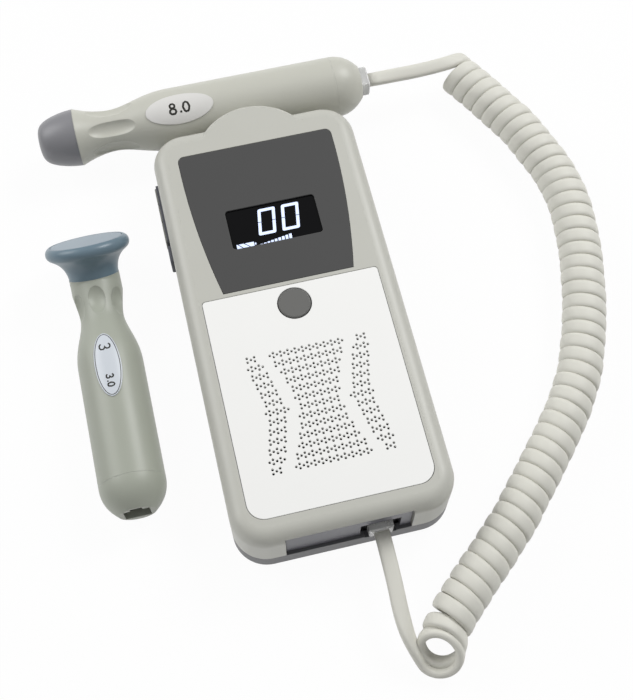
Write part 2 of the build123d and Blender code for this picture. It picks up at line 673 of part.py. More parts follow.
def sound_surround():
    outside = -HALF_WIDTH - SOUND_SOCKET_STAND
    half = BEZEL_HEIGHT / 2
    pad = block(
        outside, -HALF_WIDTH, SOUND_SOCKET_Y - SOUND_SOCKET_LENGTH / 2,
        SOUND_SOCKET_Y + SOUND_SOCKET_LENGTH / 2, KEY_CENTRE_Z - half, KEY_CENTRE_Z + half,
    )
    pad = fillet(pad.edges().filter_by(Axis.X), 2.0)
    pad = fillet(pad.faces().sort_by(Axis.X)[0].edges(), 0.5)
    return pad - sound_bore(SOUND_BORE_RADIUS + 0.4, outside - 1, -HALF_WIDTH + 1)


# Inside the unit ----------------------------------------------------------------------

def main_board():
    half = BOARD_HALF_WIDTH
    board = block(-half, half, BOARD_FOOT_Y, BOARD_HEAD_Y, BOARD_FLOOR, BOARD_TOP)
    board = fillet(board.edges().filter_by(Axis.Z), 2.0)
    for x, y in board_screw_places():
        board -= rod(SCREW_RADIUS + RUNNING_GAP, BOARD_FLOOR, BOARD_TOP, x, y)
    return board


def board_screws():
    screws = []
    for x, y in board_screw_places():
        shank = rod(SCREW_RADIUS - RUNNING_GAP, BOARD_FLOOR, CEILING_Z - 1.2, x, y)
        head = rod(SCREW_HEAD_RADIUS, BOARD_FLOOR - SCREW_HEAD_HEIGHT, BOARD_FLOOR, x, y)
        screws.append(shank + head)
    return all_solids(screws)


def case_screws():
    screws = []
    head_top = SCREW_HEAD_HEIGHT + SCREW_SINK
    half_width = SLOT_WIDTH / 2
    half_length = SLOT_LENGTH / 2
    for x, y in case_screw_places():
        shank = rod(SCREW_RADIUS - RUNNING_GAP, head_top, SEAM_HEIGHT + CASE_SCREW_GRIP, x, y)
        head = rod(SCREW_HEAD_RADIUS, SCREW_SINK, head_top, x, y)
        slot = block(
            x - half_width, x + half_width, y - half_length, y + half_length,
            SCREW_SINK, SCREW_SINK + SLOT_DEPTH,
        )
        screws.append(shank + head - slot)
    return all_solids(screws)


def board_parts():
    """Chips, capacitors, a choke and resistors on the main board's upper side."""
    top = BOARD_TOP
    chip_y = BOARD_HEAD_Y - CHIP_DROP
    row_y = BUTTON_Y + PART_ROW_REACH
    parts = [
        block(CHIP_X, CHIP_X + CHIP_SIDE, chip_y - CHIP_SIDE, chip_y, top, top + CHIP_HEIGHT),
        block(
            AMPLIFIER_X, AMPLIFIER_X + AMPLIFIER_SIDE, chip_y - AMPLIFIER_SIDE, chip_y,
            top, top + CHIP_HEIGHT,
        ),
        rod(CHOKE_RADIUS, top, top + CHOKE_HEIGHT, CHOKE_X, row_y),
    ]
    parts += [rod(CAPACITOR_RADIUS, top, top + CAPACITOR_HEIGHT, x, row_y) for x in CAPACITOR_XS]
    for x in RESISTOR_XS:
        parts.append(block(
            x, x + RESISTOR_LENGTH, row_y, row_y + RESISTOR_WIDTH, top, top + RESISTOR_HEIGHT,
        ))
    return all_solids(parts)


def speaker_frame():
    top = CEILING_Z
    ring = rod(SPEAKER_RADIUS, top - SPEAKER_FLANGE, top, 0, GRILLE_CENTRE_Y)
    ring -= rod(SPEAKER_RADIUS - 3.0, top - SPEAKER_FLANGE, top, 0, GRILLE_CENTRE_Y)
    basket_top = top - SPEAKER_FLANGE
    basket_floor = basket_top - BASKET_DEPTH
    place = Pos(0, GRILLE_CENTRE_Y, (basket_top + basket_floor) / 2)
    outer = place * Cone(MAGNET_RADIUS, SPEAKER_RADIUS - 1.0, BASKET_DEPTH)
    inner = place * Cone(MAGNET_RADIUS - 1.2, SPEAKER_RADIUS - 3.0, BASKET_DEPTH)
    floor = rod(MAGNET_RADIUS, basket_floor - 1.0, basket_floor, 0, GRILLE_CENTRE_Y)
    return ring + (outer - inner) + floor


def speaker_cone():
    top = CEILING_Z - 0.6
    floor = CEILING_Z - SPEAKER_FLANGE - BASKET_DEPTH + 1.4
    place = Pos(0, GRILLE_CENTRE_Y, (top + floor) / 2)
    rim = SPEAKER_RADIUS - 3.4
    paper = place * Cone(6.0, rim, top - floor)
    paper -= Pos(0, 0, CONE_THICKNESS) * place * Cone(6.0, rim, top - floor)
    dome = Pos(0, GRILLE_CENTRE_Y, floor) * Sphere(6.6)
    dome &= rod(8.0, floor + CONE_THICKNESS, floor + 6.6, 0, GRILLE_CENTRE_Y)
    return paper + dome


def speaker_magnet():
    top = CEILING_Z - SPEAKER_FLANGE - BASKET_DEPTH - 1.0
    magnet = rod(MAGNET_RADIUS, top - MAGNET_DEPTH, top, 0, GRILLE_CENTRE_Y)
    return chamfer(magnet.faces().sort_by(Axis.Z)[0].edges(), 0.6)


def batteries():
    """Two cells side by side, end for end."""
    cells = []
    for side in (-1, 1):
        can = Cylinder(BATTERY_RADIUS, BATTERY_LENGTH)
        can = fillet(can.edges(), 0.6)
        nub = Pos(0, 0, (BATTERY_LENGTH + BATTERY_NUB_LENGTH) / 2) * Cylinder(
            BATTERY_NUB_RADIUS, BATTERY_NUB_LENGTH,
        )
        cell = can + nub
        middle = Pos(side * BATTERY_X, (BATTERY_FOOT_Y + BATTERY_HEAD_Y) / 2, BATTERY_Z)
        cells.append(middle * Rot(-90, 0, 0) * cell)
    return all_solids(cells)


def battery_contacts():
    """Flat spring-steel plates against both ends of the battery bay."""
    plates = []
    low = BATTERY_Z - CONTACT_REACH
    high = BATTERY_Z + CONTACT_REACH
    for side in (-1, 1):
        x0 = side * BATTERY_X - CONTACT_REACH
        x1 = side * BATTERY_X + CONTACT_REACH
        plates.append(block(x0, x1, BAY_HEAD_Y - CONTACT_THICKNESS, BAY_HEAD_Y, low, high))
        plates.append(block(x0, x1, BAY_FOOT_Y, BAY_FOOT_Y + CONTACT_THICKNESS, low, high))
    return all_solids(plates)


def battery_springs():
    springs = []
    length = BATTERY_FOOT_Y - BAY_FOOT_Y - CONTACT_THICKNESS - 2 * SPRING_WIRE
    for side in (-1, 1):
        path = Helix(length / 2, length, SPRING_RADIUS)
        section = Plane(path @ 0, z_dir=path % 0) * Circle(SPRING_WIRE)
        wire = sweep(section, path, is_frenet=True)
        start = BAY_FOOT_Y + CONTACT_THICKNESS + SPRING_WIRE
        springs.append(Pos(side * BATTERY_X, start, BATTERY_Z) * Rot(-90, 0, 0) * wire)
    return all_solids(springs)


# Modular plugs and sockets ------------------------------------------------------------
# Both are drawn with the mating mouth looking along -Y and the latch on top.

def contact_offsets():
    middle = (CONTACT_COUNT - 1) / 2
    return [(index - middle) * CONTACT_PITCH for index in range(CONTACT_COUNT)]


def plug_room(grow, y0, y1):
    """The plug's body and latch as one shape, grown by a clearance."""
    half = PLUG_WIDTH / 2 + grow
    half_height = PLUG_HEIGHT / 2 + grow
    body = block(-half, half, y0, y1, -half_height, half_height)
    latch_half = LATCH_WIDTH / 2 + grow
    latch_top = PLUG_HEIGHT / 2 + LATCH_THICKNESS + 0.5 + grow
    return body + block(-latch_half, latch_half, y0, y1, 0, latch_top)


def plug_body():
    """The clear plug; its back face, where the cord leaves, is at y = 0."""
    half = PLUG_WIDTH / 2
    half_height = PLUG_HEIGHT / 2
    body = block(-half, half, 0, PLUG_LENGTH, -half_height, half_height)
    body = chamfer(body.faces().sort_by(Axis.Y)[0].edges(), 0.5)
    arm_z = half_height + 0.4
    arm = block(
        -LATCH_WIDTH / 2, LATCH_WIDTH / 2, PLUG_LENGTH - LATCH_LENGTH, PLUG_LENGTH - 1.0,
        arm_z, arm_z + LATCH_THICKNESS,
    )
    root = block(
        -LATCH_WIDTH / 2, LATCH_WIDTH / 2, PLUG_LENGTH - 2.4, PLUG_LENGTH - 1.0,
        half_height - 0.2, arm_z + 0.1,
    )
    body = body + arm + root
    for x in contact_offsets():
        body -= blade(x, 0.0)
    return body


def blade(x, grow):
    half = BLADE_THICKNESS / 2 + grow
    low = -PLUG_HEIGHT / 2
    return block(
        x - half, x + half, PLUG_LENGTH - 0.8 - BLADE_LENGTH, PLUG_LENGTH - 0.8, low, low + BLADE_HEIGHT,
    )


def plug_blades():
    return all_solids([blade(x, 0.0) for x in contact_offsets()])


def jack_body(width, height, depth):
    """The socket; its mouth is at y = 0 and the plug goes in along +Y."""
    body = block(-width / 2, width / 2, 0, depth, -height / 2, height / 2)
    body -= plug_room(PLUG_FIT, -1.0, depth - 2.0)
    for x in contact_offsets():
        body -= jack_wire(x, depth, 0.0)
    return body


def jack_wire(x, depth, grow):
    """A contact strip let into the socket's floor."""
    floor = -PLUG_HEIGHT / 2 - PLUG_FIT
    half = 0.25 + grow
    return block(x - half, x + half, 2.0, depth - 2.0, floor - 0.3, floor)


def jack_wires(depth):
    return all_solids([jack_wire(x, depth, 0.0) for x in contact_offsets()])


def jack_board_middle():
    return JACK_FACE_Y + JACK_DEPTH / 2 + JACK_BOARD_SHIFT


def jack_board_posts():
    middle_y = jack_board_middle()
    reach_x = JACK_BOARD_WIDTH / 2 - POST_INSET
    reach_y = JACK_BOARD_LENGTH / 2 - POST_INSET
    return [(JACK_X + sx * reach_x, middle_y + sy * reach_y) for sx in (-1, 1) for sy in (-1, 1)]


def jack_board():
    top = JACK_Z - JACK_HEIGHT / 2
    half_width = JACK_BOARD_WIDTH / 2
    half_length = JACK_BOARD_LENGTH / 2
    middle_y = jack_board_middle()
    return block(
        JACK_X - half_width, JACK_X + half_width,
        middle_y - half_length, middle_y + half_length, top - BOARD_THICKNESS, top,
    )


# Probes -------------------------------------------------------------------------------
# A probe is drawn along +X: its tip joint at x = 0, its cord end at x = length.

def probe_outline(length, neck, grow):
    """The handle's side line: wide joint, narrow waist, full barrel, tapered tail."""
    joint = (0, neck["radius"] + grow)
    waist = (neck["waist"], PROBE_WAIST_RADIUS + grow)
    shoulder = (neck["shoulder"], PROBE_RADIUS + grow)
    barrel_end = (length - TAIL_LENGTH, PROBE_RADIUS + grow)
    tail = (length, TAIL_RADIUS + grow)
    side = Spline(joint, waist, shoulder, tangents=[(1, -neck["slope"]), (1, 0)])
    barrel = Line(shoulder, barrel_end)
    end = Spline(barrel_end, tail, tangents=[(1, 0), (1, -TAIL_SLOPE)])
    back = Polyline(tail, (length, 0), (0, 0), joint)
    return make_face(Curve() + [side, barrel, end, back])


def probe_shape(length, neck, grow=0.0):
    return revolve(probe_outline(length, neck, grow), Axis.X)


def bar(radius, x0, x1):
    """A round bar along X."""
    return Pos((x0 + x1) / 2, 0, 0) * Rot(0, 90, 0) * Cylinder(radius, abs(x1 - x0))


def probe_handle(length, neck, first_turn):
    """The handle's shell, with long dimples round its waist, the first at first_turn degrees."""
    body = probe_shape(length, neck)
    body &= bar(PROBE_RADIUS + 1, 0, length - TAIL_LENGTH)
    body -= bar(NECK_BORE_RADIUS, 0, neck["shoulder"])
    body -= bar(PROBE_RADIUS - PROBE_WALL, neck["shoulder"] - 2.0, length - TAIL_LENGTH)
    dimple = scale(Sphere(1.0), by=(neck["reach"], DIMPLE_RADIUS, DIMPLE_RADIUS))
    dimple_height = PROBE_WAIST_RADIUS + DIMPLE_RADIUS - DIMPLE_DEPTH
    for index in range(DIMPLE_COUNT):
        turn = Rot(first_turn + 360 / DIMPLE_COUNT * index, 0, 0)
        body -= turn * Pos(neck["dimple"], 0, dimple_height) * dimple
    return body


def head_place():
    """The frame of the canted head: its joint circle at x = 0, its face towards -X."""
    return Pos(0, 0, HEAD_BEND_RADIUS) * Rot(0, HEAD_CANT, 0) * Pos(0, 0, -HEAD_BEND_RADIUS)


def spare_handle():
    """The spare's handle, whose neck bends up to the canted head."""
    ring = Plane.YZ * (Circle(SPARE_NECK["radius"]) - Circle(NECK_BORE_RADIUS))
    bend = revolve(ring, Axis((0, 0, HEAD_BEND_RADIUS), (0, 1, 0)), HEAD_CANT)
    body = probe_handle(SPARE_LENGTH, SPARE_NECK, 0.0) + bend
    return body - head_place() * bar(NECK_BORE_RADIUS, -1.0, SPIGOT_LENGTH + 0.3)


def probe_tail(length, neck):
    """The tapered end cap, with a spigot in the barrel and the plug's mouth."""
    start = length - TAIL_LENGTH
    cap = probe_shape(length, neck) & bar(PROBE_RADIUS + 1, start, length)
    cap += bar(PROBE_RADIUS - PROBE_WALL - RUNNING_GAP, start - SPIGOT_LENGTH, start)
    cap -= bar(PROBE_RADIUS - PROBE_WALL - 1.0, start - SPIGOT_LENGTH, length - TAIL_WALL)
    return cap - mouth_place(length) * plug_room(PLUG_FIT, -1.0, TAIL_WALL + 1.0)


def mouth_place(length):
    """The frame of the plug's mouth: the probe's tail looks along the plug's -Y."""
    return Pos(length, 0, 0) * Rot(0, 0, 90)


def probe_socket_depth():
    return PLUG_LENGTH - PLUG_STAND - TAIL_WALL + 2.4


def probe_socket(length):
    depth = probe_socket_depth()
    return mouth_place(length) * Pos(0, TAIL_WALL, 0) * jack_body(PLUG_WIDTH + 3.0, PLUG_HEIGHT + 4.6, depth)


def probe_socket_wires(length):
    return mouth_place(length) * Pos(0, TAIL_WALL, 0) * jack_wires(probe_socket_depth())


def probe_board(length, neck):
    end = length - TAIL_WALL - probe_socket_depth() - FIT_GAP
    start = neck["shoulder"] + PROBE_BOARD_GAP
    bore = PROBE_RADIUS - PROBE_WALL - 1.0
    half = math.sqrt(bore ** 2 - PROBE_BOARD_THICKNESS ** 2 / 4) - 0.1
    half_thickness = PROBE_BOARD_THICKNESS / 2
    board = block(start, end, -half, half, -half_thickness, half_thickness)
    chip = block(start + 6, start + 14, -3.5, 3.5, half_thickness, half_thickness + 1.4)
    return board + chip


def probe_label(length, neck, place, oval):
    """A thin oval label that follows the handle's surface."""
    skin = probe_shape(length, neck, LABEL_THICKNESS) - probe_shape(length, neck)
    cutter = extrude(Pos(place, 0, 0) * oval, PROBE_RADIUS + 5)
    return skin & cutter


def round_tip():
    """The pencil tip: a full, blunt nose with a bore for the crystal."""
    side = Spline(
        (0, PENCIL_NECK["radius"] - 0.1), (-TIP_BELLY_PLACE, TIP_BELLY_RADIUS),
        (-TIP_NOSE_PLACE, TIP_NOSE_RADIUS), (-TIP_LENGTH, 0), tangents=[(-1, -0.03), (0, -1)],
    )
    rest = Polyline(side @ 1, (0, 0), side @ 0)
    tip = revolve(make_face(Curve() + [side, rest]), Axis.X)
    tip += bar(NECK_BORE_RADIUS - RUNNING_GAP, 0, SPIGOT_LENGTH)
    return tip - bar(CRYSTAL_RADIUS + 0.1, -TIP_LENGTH + 1.2, SPIGOT_LENGTH)


def tip_crystal():
    start = -TIP_LENGTH + 1.2
    return bar(CRYSTAL_RADIUS, start, start + CRYSTAL_THICKNESS)


def tip_backing():
    start = -TIP_LENGTH + 1.2 + CRYSTAL_THICKNESS
    return bar(CRYSTAL_RADIUS, start, start + 6.0)


def disc_head():
    """The wide head: a flared neck under a thick round-edged disc."""
    rim_back = -HEAD_LENGTH + HEAD_RIM
    rim_start = (rim_back, HEAD_RADIUS - 1.0)
    rim_end = (-HEAD_LENGTH, HEAD_RADIUS - 1.4)
    neck_start = (0, SPARE_NECK["radius"] - 0.1)
    flare = Spline(neck_start, (rim_back + 0.4, HEAD_RADIUS - 1.6), tangents=[(-1, 0.05), (-0.6, 1)])
    step = Line(flare @ 1, rim_start)
    rim = ThreePointArc(rim_start, (-HEAD_LENGTH + HEAD_RIM / 2, HEAD_RADIUS), rim_end)
    rest = Polyline(rim_end, (-HEAD_LENGTH, 0), (0, 0), neck_start)
    head = revolve(make_face(Curve() + [flare, step, rim, rest]), Axis.X)
    head += bar(NECK_BORE_RADIUS - RUNNING_GAP, 0, SPIGOT_LENGTH)
    head -= bar(FACE_DISC_RADIUS + RUNNING_GAP, -HEAD_LENGTH, -HEAD_LENGTH + FACE_DISC_THICKNESS)
    head -= bar(PAIR_CRYSTAL_RADIUS + 0.2, -HEAD_LENGTH, -HEAD_LENGTH + FACE_DISC_THICKNESS + 1.4)
    return head - bar(3.6, -HEAD_LENGTH, SPIGOT_LENGTH)


def head_face():
    face = bar(FACE_DISC_RADIUS, -HEAD_LENGTH, -HEAD_LENGTH + FACE_DISC_THICKNESS)
    return chamfer(face.faces().sort_by(Axis.X)[0].edges(), 0.3)


def head_crystals():
    """The sender and the receiver: two half discs behind the face."""
    start = -HEAD_LENGTH + FACE_DISC_THICKNESS
    disc = bar(PAIR_CRYSTAL_RADIUS, start, start + CRYSTAL_THICKNESS)
    reach = PAIR_CRYSTAL_RADIUS + 1
    halves = []
    for side in (-1, 1):
        keep = block(start - 1, start + 2, side * 0.3, side * reach, -reach, reach)
        halves.append(disc & keep)
    return all_solids(halves)


def clipped_place():
    return Pos(PROBE_JOINT_X, PROBE_AXIS_Y, PROBE_AXIS_Z)


def spare_place():
    """Tail towards the user, head away, the barrel lying on the table."""
    return Pos(SPARE_X, SPARE_NECK_Y, PROBE_RADIUS) * Rot(0, 0, -90)


# Cord ---------------------------------------------------------------------------------

def arc_radii(points):
    """The largest arc each corner of a route has room for."""
    radii = []
    for before, corner, after in zip(points, points[1:], points[2:]):
        run_in = Vector(*corner) - Vector(*before)
        run_out = Vector(*after) - Vector(*corner)
        turn = math.radians(run_in.get_angle(run_out))
        radii.append(0.45 * min(run_in.length, run_out.length) / math.tan(turn / 2))
    return radii


def cord_tube(name, points, diameter):
    radii = arc_radii(points)
    path = FilletPolyline(*points, radius=radii)
    section = Plane(path @ 0, z_dir=path % 0) * Circle(diameter / 2)
    tube = sweep(section, path)
    expected = math.pi * diameter ** 2 / 4 * path.length
    print(name, "radii", [round(radius, 1) for radius in radii])
    print(name, "length", round(path.length, 1), "volume share", round(tube.volume / expected, 4))
    return tube


CORD_REST = CORD_WIDTH / 2
COIL_REST = COIL_DIAMETER / 2

UNIT_LEAD_ROUTE = [
    (JACK_X, PLUG_BACK_Y, JACK_Z),
    (JACK_X, PLUG_BACK_Y - 7.0, JACK_Z),
    (10.2, -91.0, 8.2),
    (10.6, -100.0, 2.9),
    (12.2, -109.0, CORD_REST),
    (15.6, -117.5, 3.2),
]

PROBE_LEAD_ROUTE = [
    (PROBE_JOINT_X + PROBE_LENGTH + PLUG_STAND, PROBE_AXIS_Y, PROBE_AXIS_Z),
    (54.5, PROBE_AXIS_Y, PROBE_AXIS_Z),
    (63.6, 88.4, 14.4),
    (72.4, 89.4, 13.0),
    (80.6, 91.0, 10.4),
]

COIL_ROUTE = [
    (80.8, 91.8, COIL_REST),
    (88.6, 76.4, COIL_REST),
    (99.6, 54.0, COIL_REST),
    (105.4, 30.0, COIL_REST),
    (102.4, 6.0, COIL_REST),
    (95.6, -19.0, COIL_REST),
    (84.6, -42.6, COIL_REST),
    (67.0, -63.0, COIL_REST),
    (48.6, -82.6, COIL_REST),
    (30.0, -98.6, COIL_REST),
    (18.6, -110.0, COIL_REST),
    (15.2, -121.0, COIL_REST),
]


# The nodes ----------------------------------------------------------------------------

unit_plug_place = Pos(JACK_X, PLUG_BACK_Y, JACK_Z)
unit_jack_place = Pos(JACK_X, JACK_FACE_Y, JACK_Z)
clipped = clipped_place()
probe_plug_place = clipped * mouth_place(PROBE_LENGTH) * Pos(0, -PLUG_STAND, 0)
spare = spare_place()

nodes = {
    "front_case": front_case(),
    "back_case": back_case(),
    "battery_door": battery_door(),
    "end_panel": end_panel(),
    "speaker_plate": speaker_plate(),
    "speaker_cloth": speaker_cloth(),
    "display_cover": display_cover(),
    "display_lens": display_lens(),
    "display_module": display_module(),
    "main_board": main_board(),
    "board_parts": board_parts(),
    "board_screws": board_screws(),
    "case_screws": case_screws(),
    "power_button": power_button(),
    "power_switch": power_switch(),
    "key_bezel": key_bezel(),
    "key_switches": key_switches(),
    "sound_socket": sound_socket(),
    "sound_surround": sound_surround(),
    "speaker_frame": speaker_frame(),
    "speaker_cone": speaker_cone(),
    "speaker_magnet": speaker_magnet(),
    "batteries": batteries(),
    "battery_contacts": battery_contacts(),
    "battery_springs": battery_springs(),
    "unit_jack": unit_jack_place * jack_body(JACK_WIDTH, JACK_HEIGHT, JACK_DEPTH),
    "unit_jack_wires": unit_jack_place * jack_wires(JACK_DEPTH),
    "jack_board": jack_board(),
    "probe_cradle": probe_cradle(),
    "cradle_pad": cradle_pad(),
    "unit_plug": unit_plug_place * plug_body(),
    "unit_plug_blades": unit_plug_place * plug_blades(),
    "cord_unit_lead": cord_tube("cord_unit_lead", UNIT_LEAD_ROUTE, CORD_WIDTH),
    "cord_coil": cord_tube("cord_coil", COIL_ROUTE, COIL_DIAMETER),
    "cord_probe_lead": cord_tube("cord_probe_lead", PROBE_LEAD_ROUTE, CORD_WIDTH),
    "probe_plug": probe_plug_place * plug_body(),
    "probe_plug_blades": probe_plug_place * plug_blades(),
    "probe_handle": clipped * probe_handle(PROBE_LENGTH, PENCIL_NECK, PENCIL_DIMPLE_TURN),
    "probe_tail": clipped * probe_tail(PROBE_LENGTH, PENCIL_NECK),
    "probe_socket": clipped * probe_socket(PROBE_LENGTH),
    "probe_socket_wires": clipped * probe_socket_wires(PROBE_LENGTH),
    "probe_board": clipped * probe_board(PROBE_LENGTH, PENCIL_NECK),
    "probe_label": clipped * Rot(LABEL_TILT, 0, 0) * probe_label(
        PROBE_LENGTH, PENCIL_NECK, LABEL_PLACE, Ellipse(LABEL_LENGTH / 2, LABEL_WIDTH / 2),
    ),
    "probe_tip": clipped * round_tip(),
    "probe_crystal": clipped * tip_crystal(),
    "probe_backing": clipped * tip_backing(),
    "spare_handle": spare * spare_handle(),
    "spare_tail": spare * probe_tail(SPARE_LENGTH, SPARE_NECK),
    "spare_socket": spare * probe_socket(SPARE_LENGTH),
    "spare_socket_wires": spare * probe_socket_wires(SPARE_LENGTH),
    "spare_board": spare * probe_board(SPARE_LENGTH, SPARE_NECK),
    "spare_label": spare * probe_label(
        SPARE_LENGTH, SPARE_NECK, SPARE_LABEL_PLACE, Ellipse(SPARE_LABEL_LENGTH / 2, SPARE_LABEL_WIDTH / 2),
    ),
    "spare_head": spare * head_place() * disc_head(),
    "spare_face": spare * head_place() * head_face(),
    "spare_crystals": spare * head_place() * head_crystals(),
}
for index, key_name in enumerate(KEY_NAMES):
    nodes[key_name] = side_key(index)

os.makedirs("parts", exist_ok=True)
for name, shape in nodes.items():
    export_step(shape, "parts/" + name + ".step")
mouth = spare * mouth_place(SPARE_LENGTH)
print("nodes", len(nodes))
print("spare mouth", mouth.position)
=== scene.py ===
# %% [markdown]
# # A hand-held fetal doppler
# The object is a flat battery unit with a display and a speaker, a pencil probe clipped
# across its top end, a curly cord that joins the two, and a spare disc-headed probe lying
# beside them. The CAD model brings every rigid piece at its real size. This script gives
# each of them its finish, and makes what CAD leaves plain: the curly cord, the lit
# display and the printing.

# %% Load the frame
import math

import bpy
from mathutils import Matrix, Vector, noise
from mathutils.bvhtree import BVHTree


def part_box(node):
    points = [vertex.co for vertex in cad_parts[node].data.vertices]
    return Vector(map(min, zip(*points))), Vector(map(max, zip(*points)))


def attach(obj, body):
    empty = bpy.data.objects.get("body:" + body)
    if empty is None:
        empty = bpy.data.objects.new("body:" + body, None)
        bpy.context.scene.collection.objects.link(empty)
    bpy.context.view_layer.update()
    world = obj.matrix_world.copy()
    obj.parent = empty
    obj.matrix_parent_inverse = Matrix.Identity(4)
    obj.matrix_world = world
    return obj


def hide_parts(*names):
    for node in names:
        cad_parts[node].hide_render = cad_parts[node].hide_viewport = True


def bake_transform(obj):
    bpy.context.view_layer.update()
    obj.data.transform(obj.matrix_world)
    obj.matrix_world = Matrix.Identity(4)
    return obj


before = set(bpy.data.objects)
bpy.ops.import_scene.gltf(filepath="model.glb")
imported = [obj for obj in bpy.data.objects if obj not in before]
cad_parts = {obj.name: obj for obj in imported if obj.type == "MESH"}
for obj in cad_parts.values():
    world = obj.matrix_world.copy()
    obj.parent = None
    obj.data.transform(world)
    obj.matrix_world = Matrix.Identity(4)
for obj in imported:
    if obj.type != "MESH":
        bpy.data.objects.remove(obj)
for name in ("Cube", "Light", "Camera"):
    if name in bpy.data.objects:
        bpy.data.objects.remove(bpy.data.objects[name])
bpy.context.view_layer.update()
MM = 0.001

# %% [markdown]
# ## The camera
# A product picture is taken from some way off with a long lens, so that near and far
# edges keep nearly the same scale. A sensor of 36 mm along the frame's long side and a
# lens of about 62 mm give that view. The camera looks down on the desk from the foot of
# the unit. Aiming it with a direction vector keeps it level without any rotation maths.

# %% Camera
CAMERA_PLACE = Vector((-0.0318, -0.1638, 0.3741))
CAMERA_AIM = Vector((0.00443, -0.0107, 0.01349))
CAMERA_LENS = 61.714
CAMERA_SENSOR = 36.0

camera_data = bpy.data.cameras.new("camera")
camera_data.sensor_width = CAMERA_SENSOR
camera_data.lens = CAMERA_LENS
camera = bpy.data.objects.new("camera", camera_data)
bpy.context.scene.collection.objects.link(camera)
camera.location = CAMERA_PLACE
camera.rotation_mode = "QUATERNION"
camera.rotation_quaternion = (CAMERA_AIM - CAMERA_PLACE).to_track_quat("-Z", "Y")
bpy.context.scene.camera = camera
print("camera", round((CAMERA_AIM - CAMERA_PLACE).length, 3), "m from the desk")

# %% [markdown]
# ## The curly cord
# A curly cord is a flat flexible cord that was wound on a rod and heated, so it springs
# back into close turns. It could be a curve with a bevel, but a bevel gives a round cord.
# Here two smooth splines run side by side, one along the cord's middle and one a little
# way out of its face, and a flat rounded section is swept along the pair. The second
# spline is what tells the sweep which way the flat face looks.
#
# The routes below are listed points, in metres: the short lead out of the unit's
# plug, the axis of the coil, and the short lead into the probe's plug.

# %% Cord sizes and routes
CORD_WIDTH = 0.005
CORD_THICKNESS = 0.0027
COIL_DIAMETER = 0.015
COIL_RADIUS = (COIL_DIAMETER - CORD_THICKNESS) / 2
TURNS = 48
STEPS_PER_TURN = 16
SPLINE_STEPS = 4
FACE_OFFSET = 0.001
AXIS_STEPS = 12
HEADING_REACH = 0.004

UNIT_LEAD_ROUTE = (
    (0.0100, -0.0746, 0.0128),
    (0.0100, -0.0816, 0.0128),
    (0.0099, -0.0910, 0.0122),
    (0.0095, -0.1000, 0.0113),
    (0.0100, -0.1075, 0.0100),
)
COIL_ROUTE = (
    (0.0156, -0.1210, 0.0075),
    (0.0196, -0.1090, 0.0075),
    (0.0300, -0.0986, 0.0075),
    (0.0486, -0.0826, 0.0075),
    (0.0670, -0.0630, 0.0075),
    (0.0846, -0.0426, 0.0075),
    (0.0956, -0.0190, 0.0075),
    (0.1024, 0.0060, 0.0075),
    (0.1054, 0.0300, 0.0075),
    (0.0996, 0.0540, 0.0075),
    (0.0886, 0.0764, 0.0075),
    (0.0784, 0.0928, 0.0075),
)
PROBE_LEAD_ROUTE = (
    (0.0772, 0.0892, 0.0143),
    (0.0712, 0.0886, 0.0144),
    (0.0636, 0.0881, 0.0147),
    (0.0545, 0.0880, 0.0150),
    (0.0468, 0.0880, 0.0150),
)
UP = Vector((0, 0, 1))


def spline_points(routes, steps):
    """The points of smooth NURBS splines, one list for each route."""
    curve = bpy.data.curves.new("route", "CURVE")
    curve.dimensions = "3D"
    curve.resolution_u = steps
    for route in routes:
        spline = curve.splines.new("NURBS")
        spline.points.add(len(route) - 1)
        for point, place in zip(spline.points, route):
            point.co = (*place, 1.0)
        spline.order_u = 3
        spline.use_endpoint_u = True
    holder = bpy.data.objects.new("route", curve)
    mesh = bpy.data.meshes.new_from_object(holder)
    places = [vertex.co.copy() for vertex in mesh.vertices]
    bpy.data.meshes.remove(mesh)
    bpy.data.objects.remove(holder)
    bpy.data.curves.remove(curve)
    share = len(places) // len(routes)
    return [places[i * share:(i + 1) * share] for i in range(len(routes))]


class Route:
    """A polyline that can be asked for its place and heading at any distance along it."""

    def __init__(self, places):
        self.places = places
        self.marks = [0.0]
        for a, b in zip(places, places[1:]):
            self.marks.append(self.marks[-1] + (b - a).length)
        self.length = self.marks[-1]

    def place(self, distance):
        """The point at a distance from the start, in line with the ends beyond them."""
        i = 1
        while i < len(self.marks) - 1 and self.marks[i] < distance:
            i += 1
        span = self.marks[i] - self.marks[i - 1]
        share = (distance - self.marks[i - 1]) / span
        return self.places[i - 1].lerp(self.places[i], share)

    def heading(self, distance, reach=HEADING_REACH):
        """The direction of travel, averaged over a short reach so that it turns smoothly."""
        return (self.place(distance + reach) - self.place(distance - reach)).normalized()


coil_axis = Route(spline_points([COIL_ROUTE], AXIS_STEPS)[0])
print("coil axis:", round(coil_axis.length / MM, 1), "mm for", TURNS, "turns")

# %% [markdown]
# ## Winding the turns
# Each turn is a circle round the coil's axis, and the cord climbs from one to the next.
# It is a left-handed helix. The lead pulls the first turns open: they stay close at the
# top and swing out at the bottom, like the lid of a tin, and the ones behind them stand
# up again. A loop works out the turns, sixteen points to each. A slow noise with fixed
# seeds keeps them from looking machined.

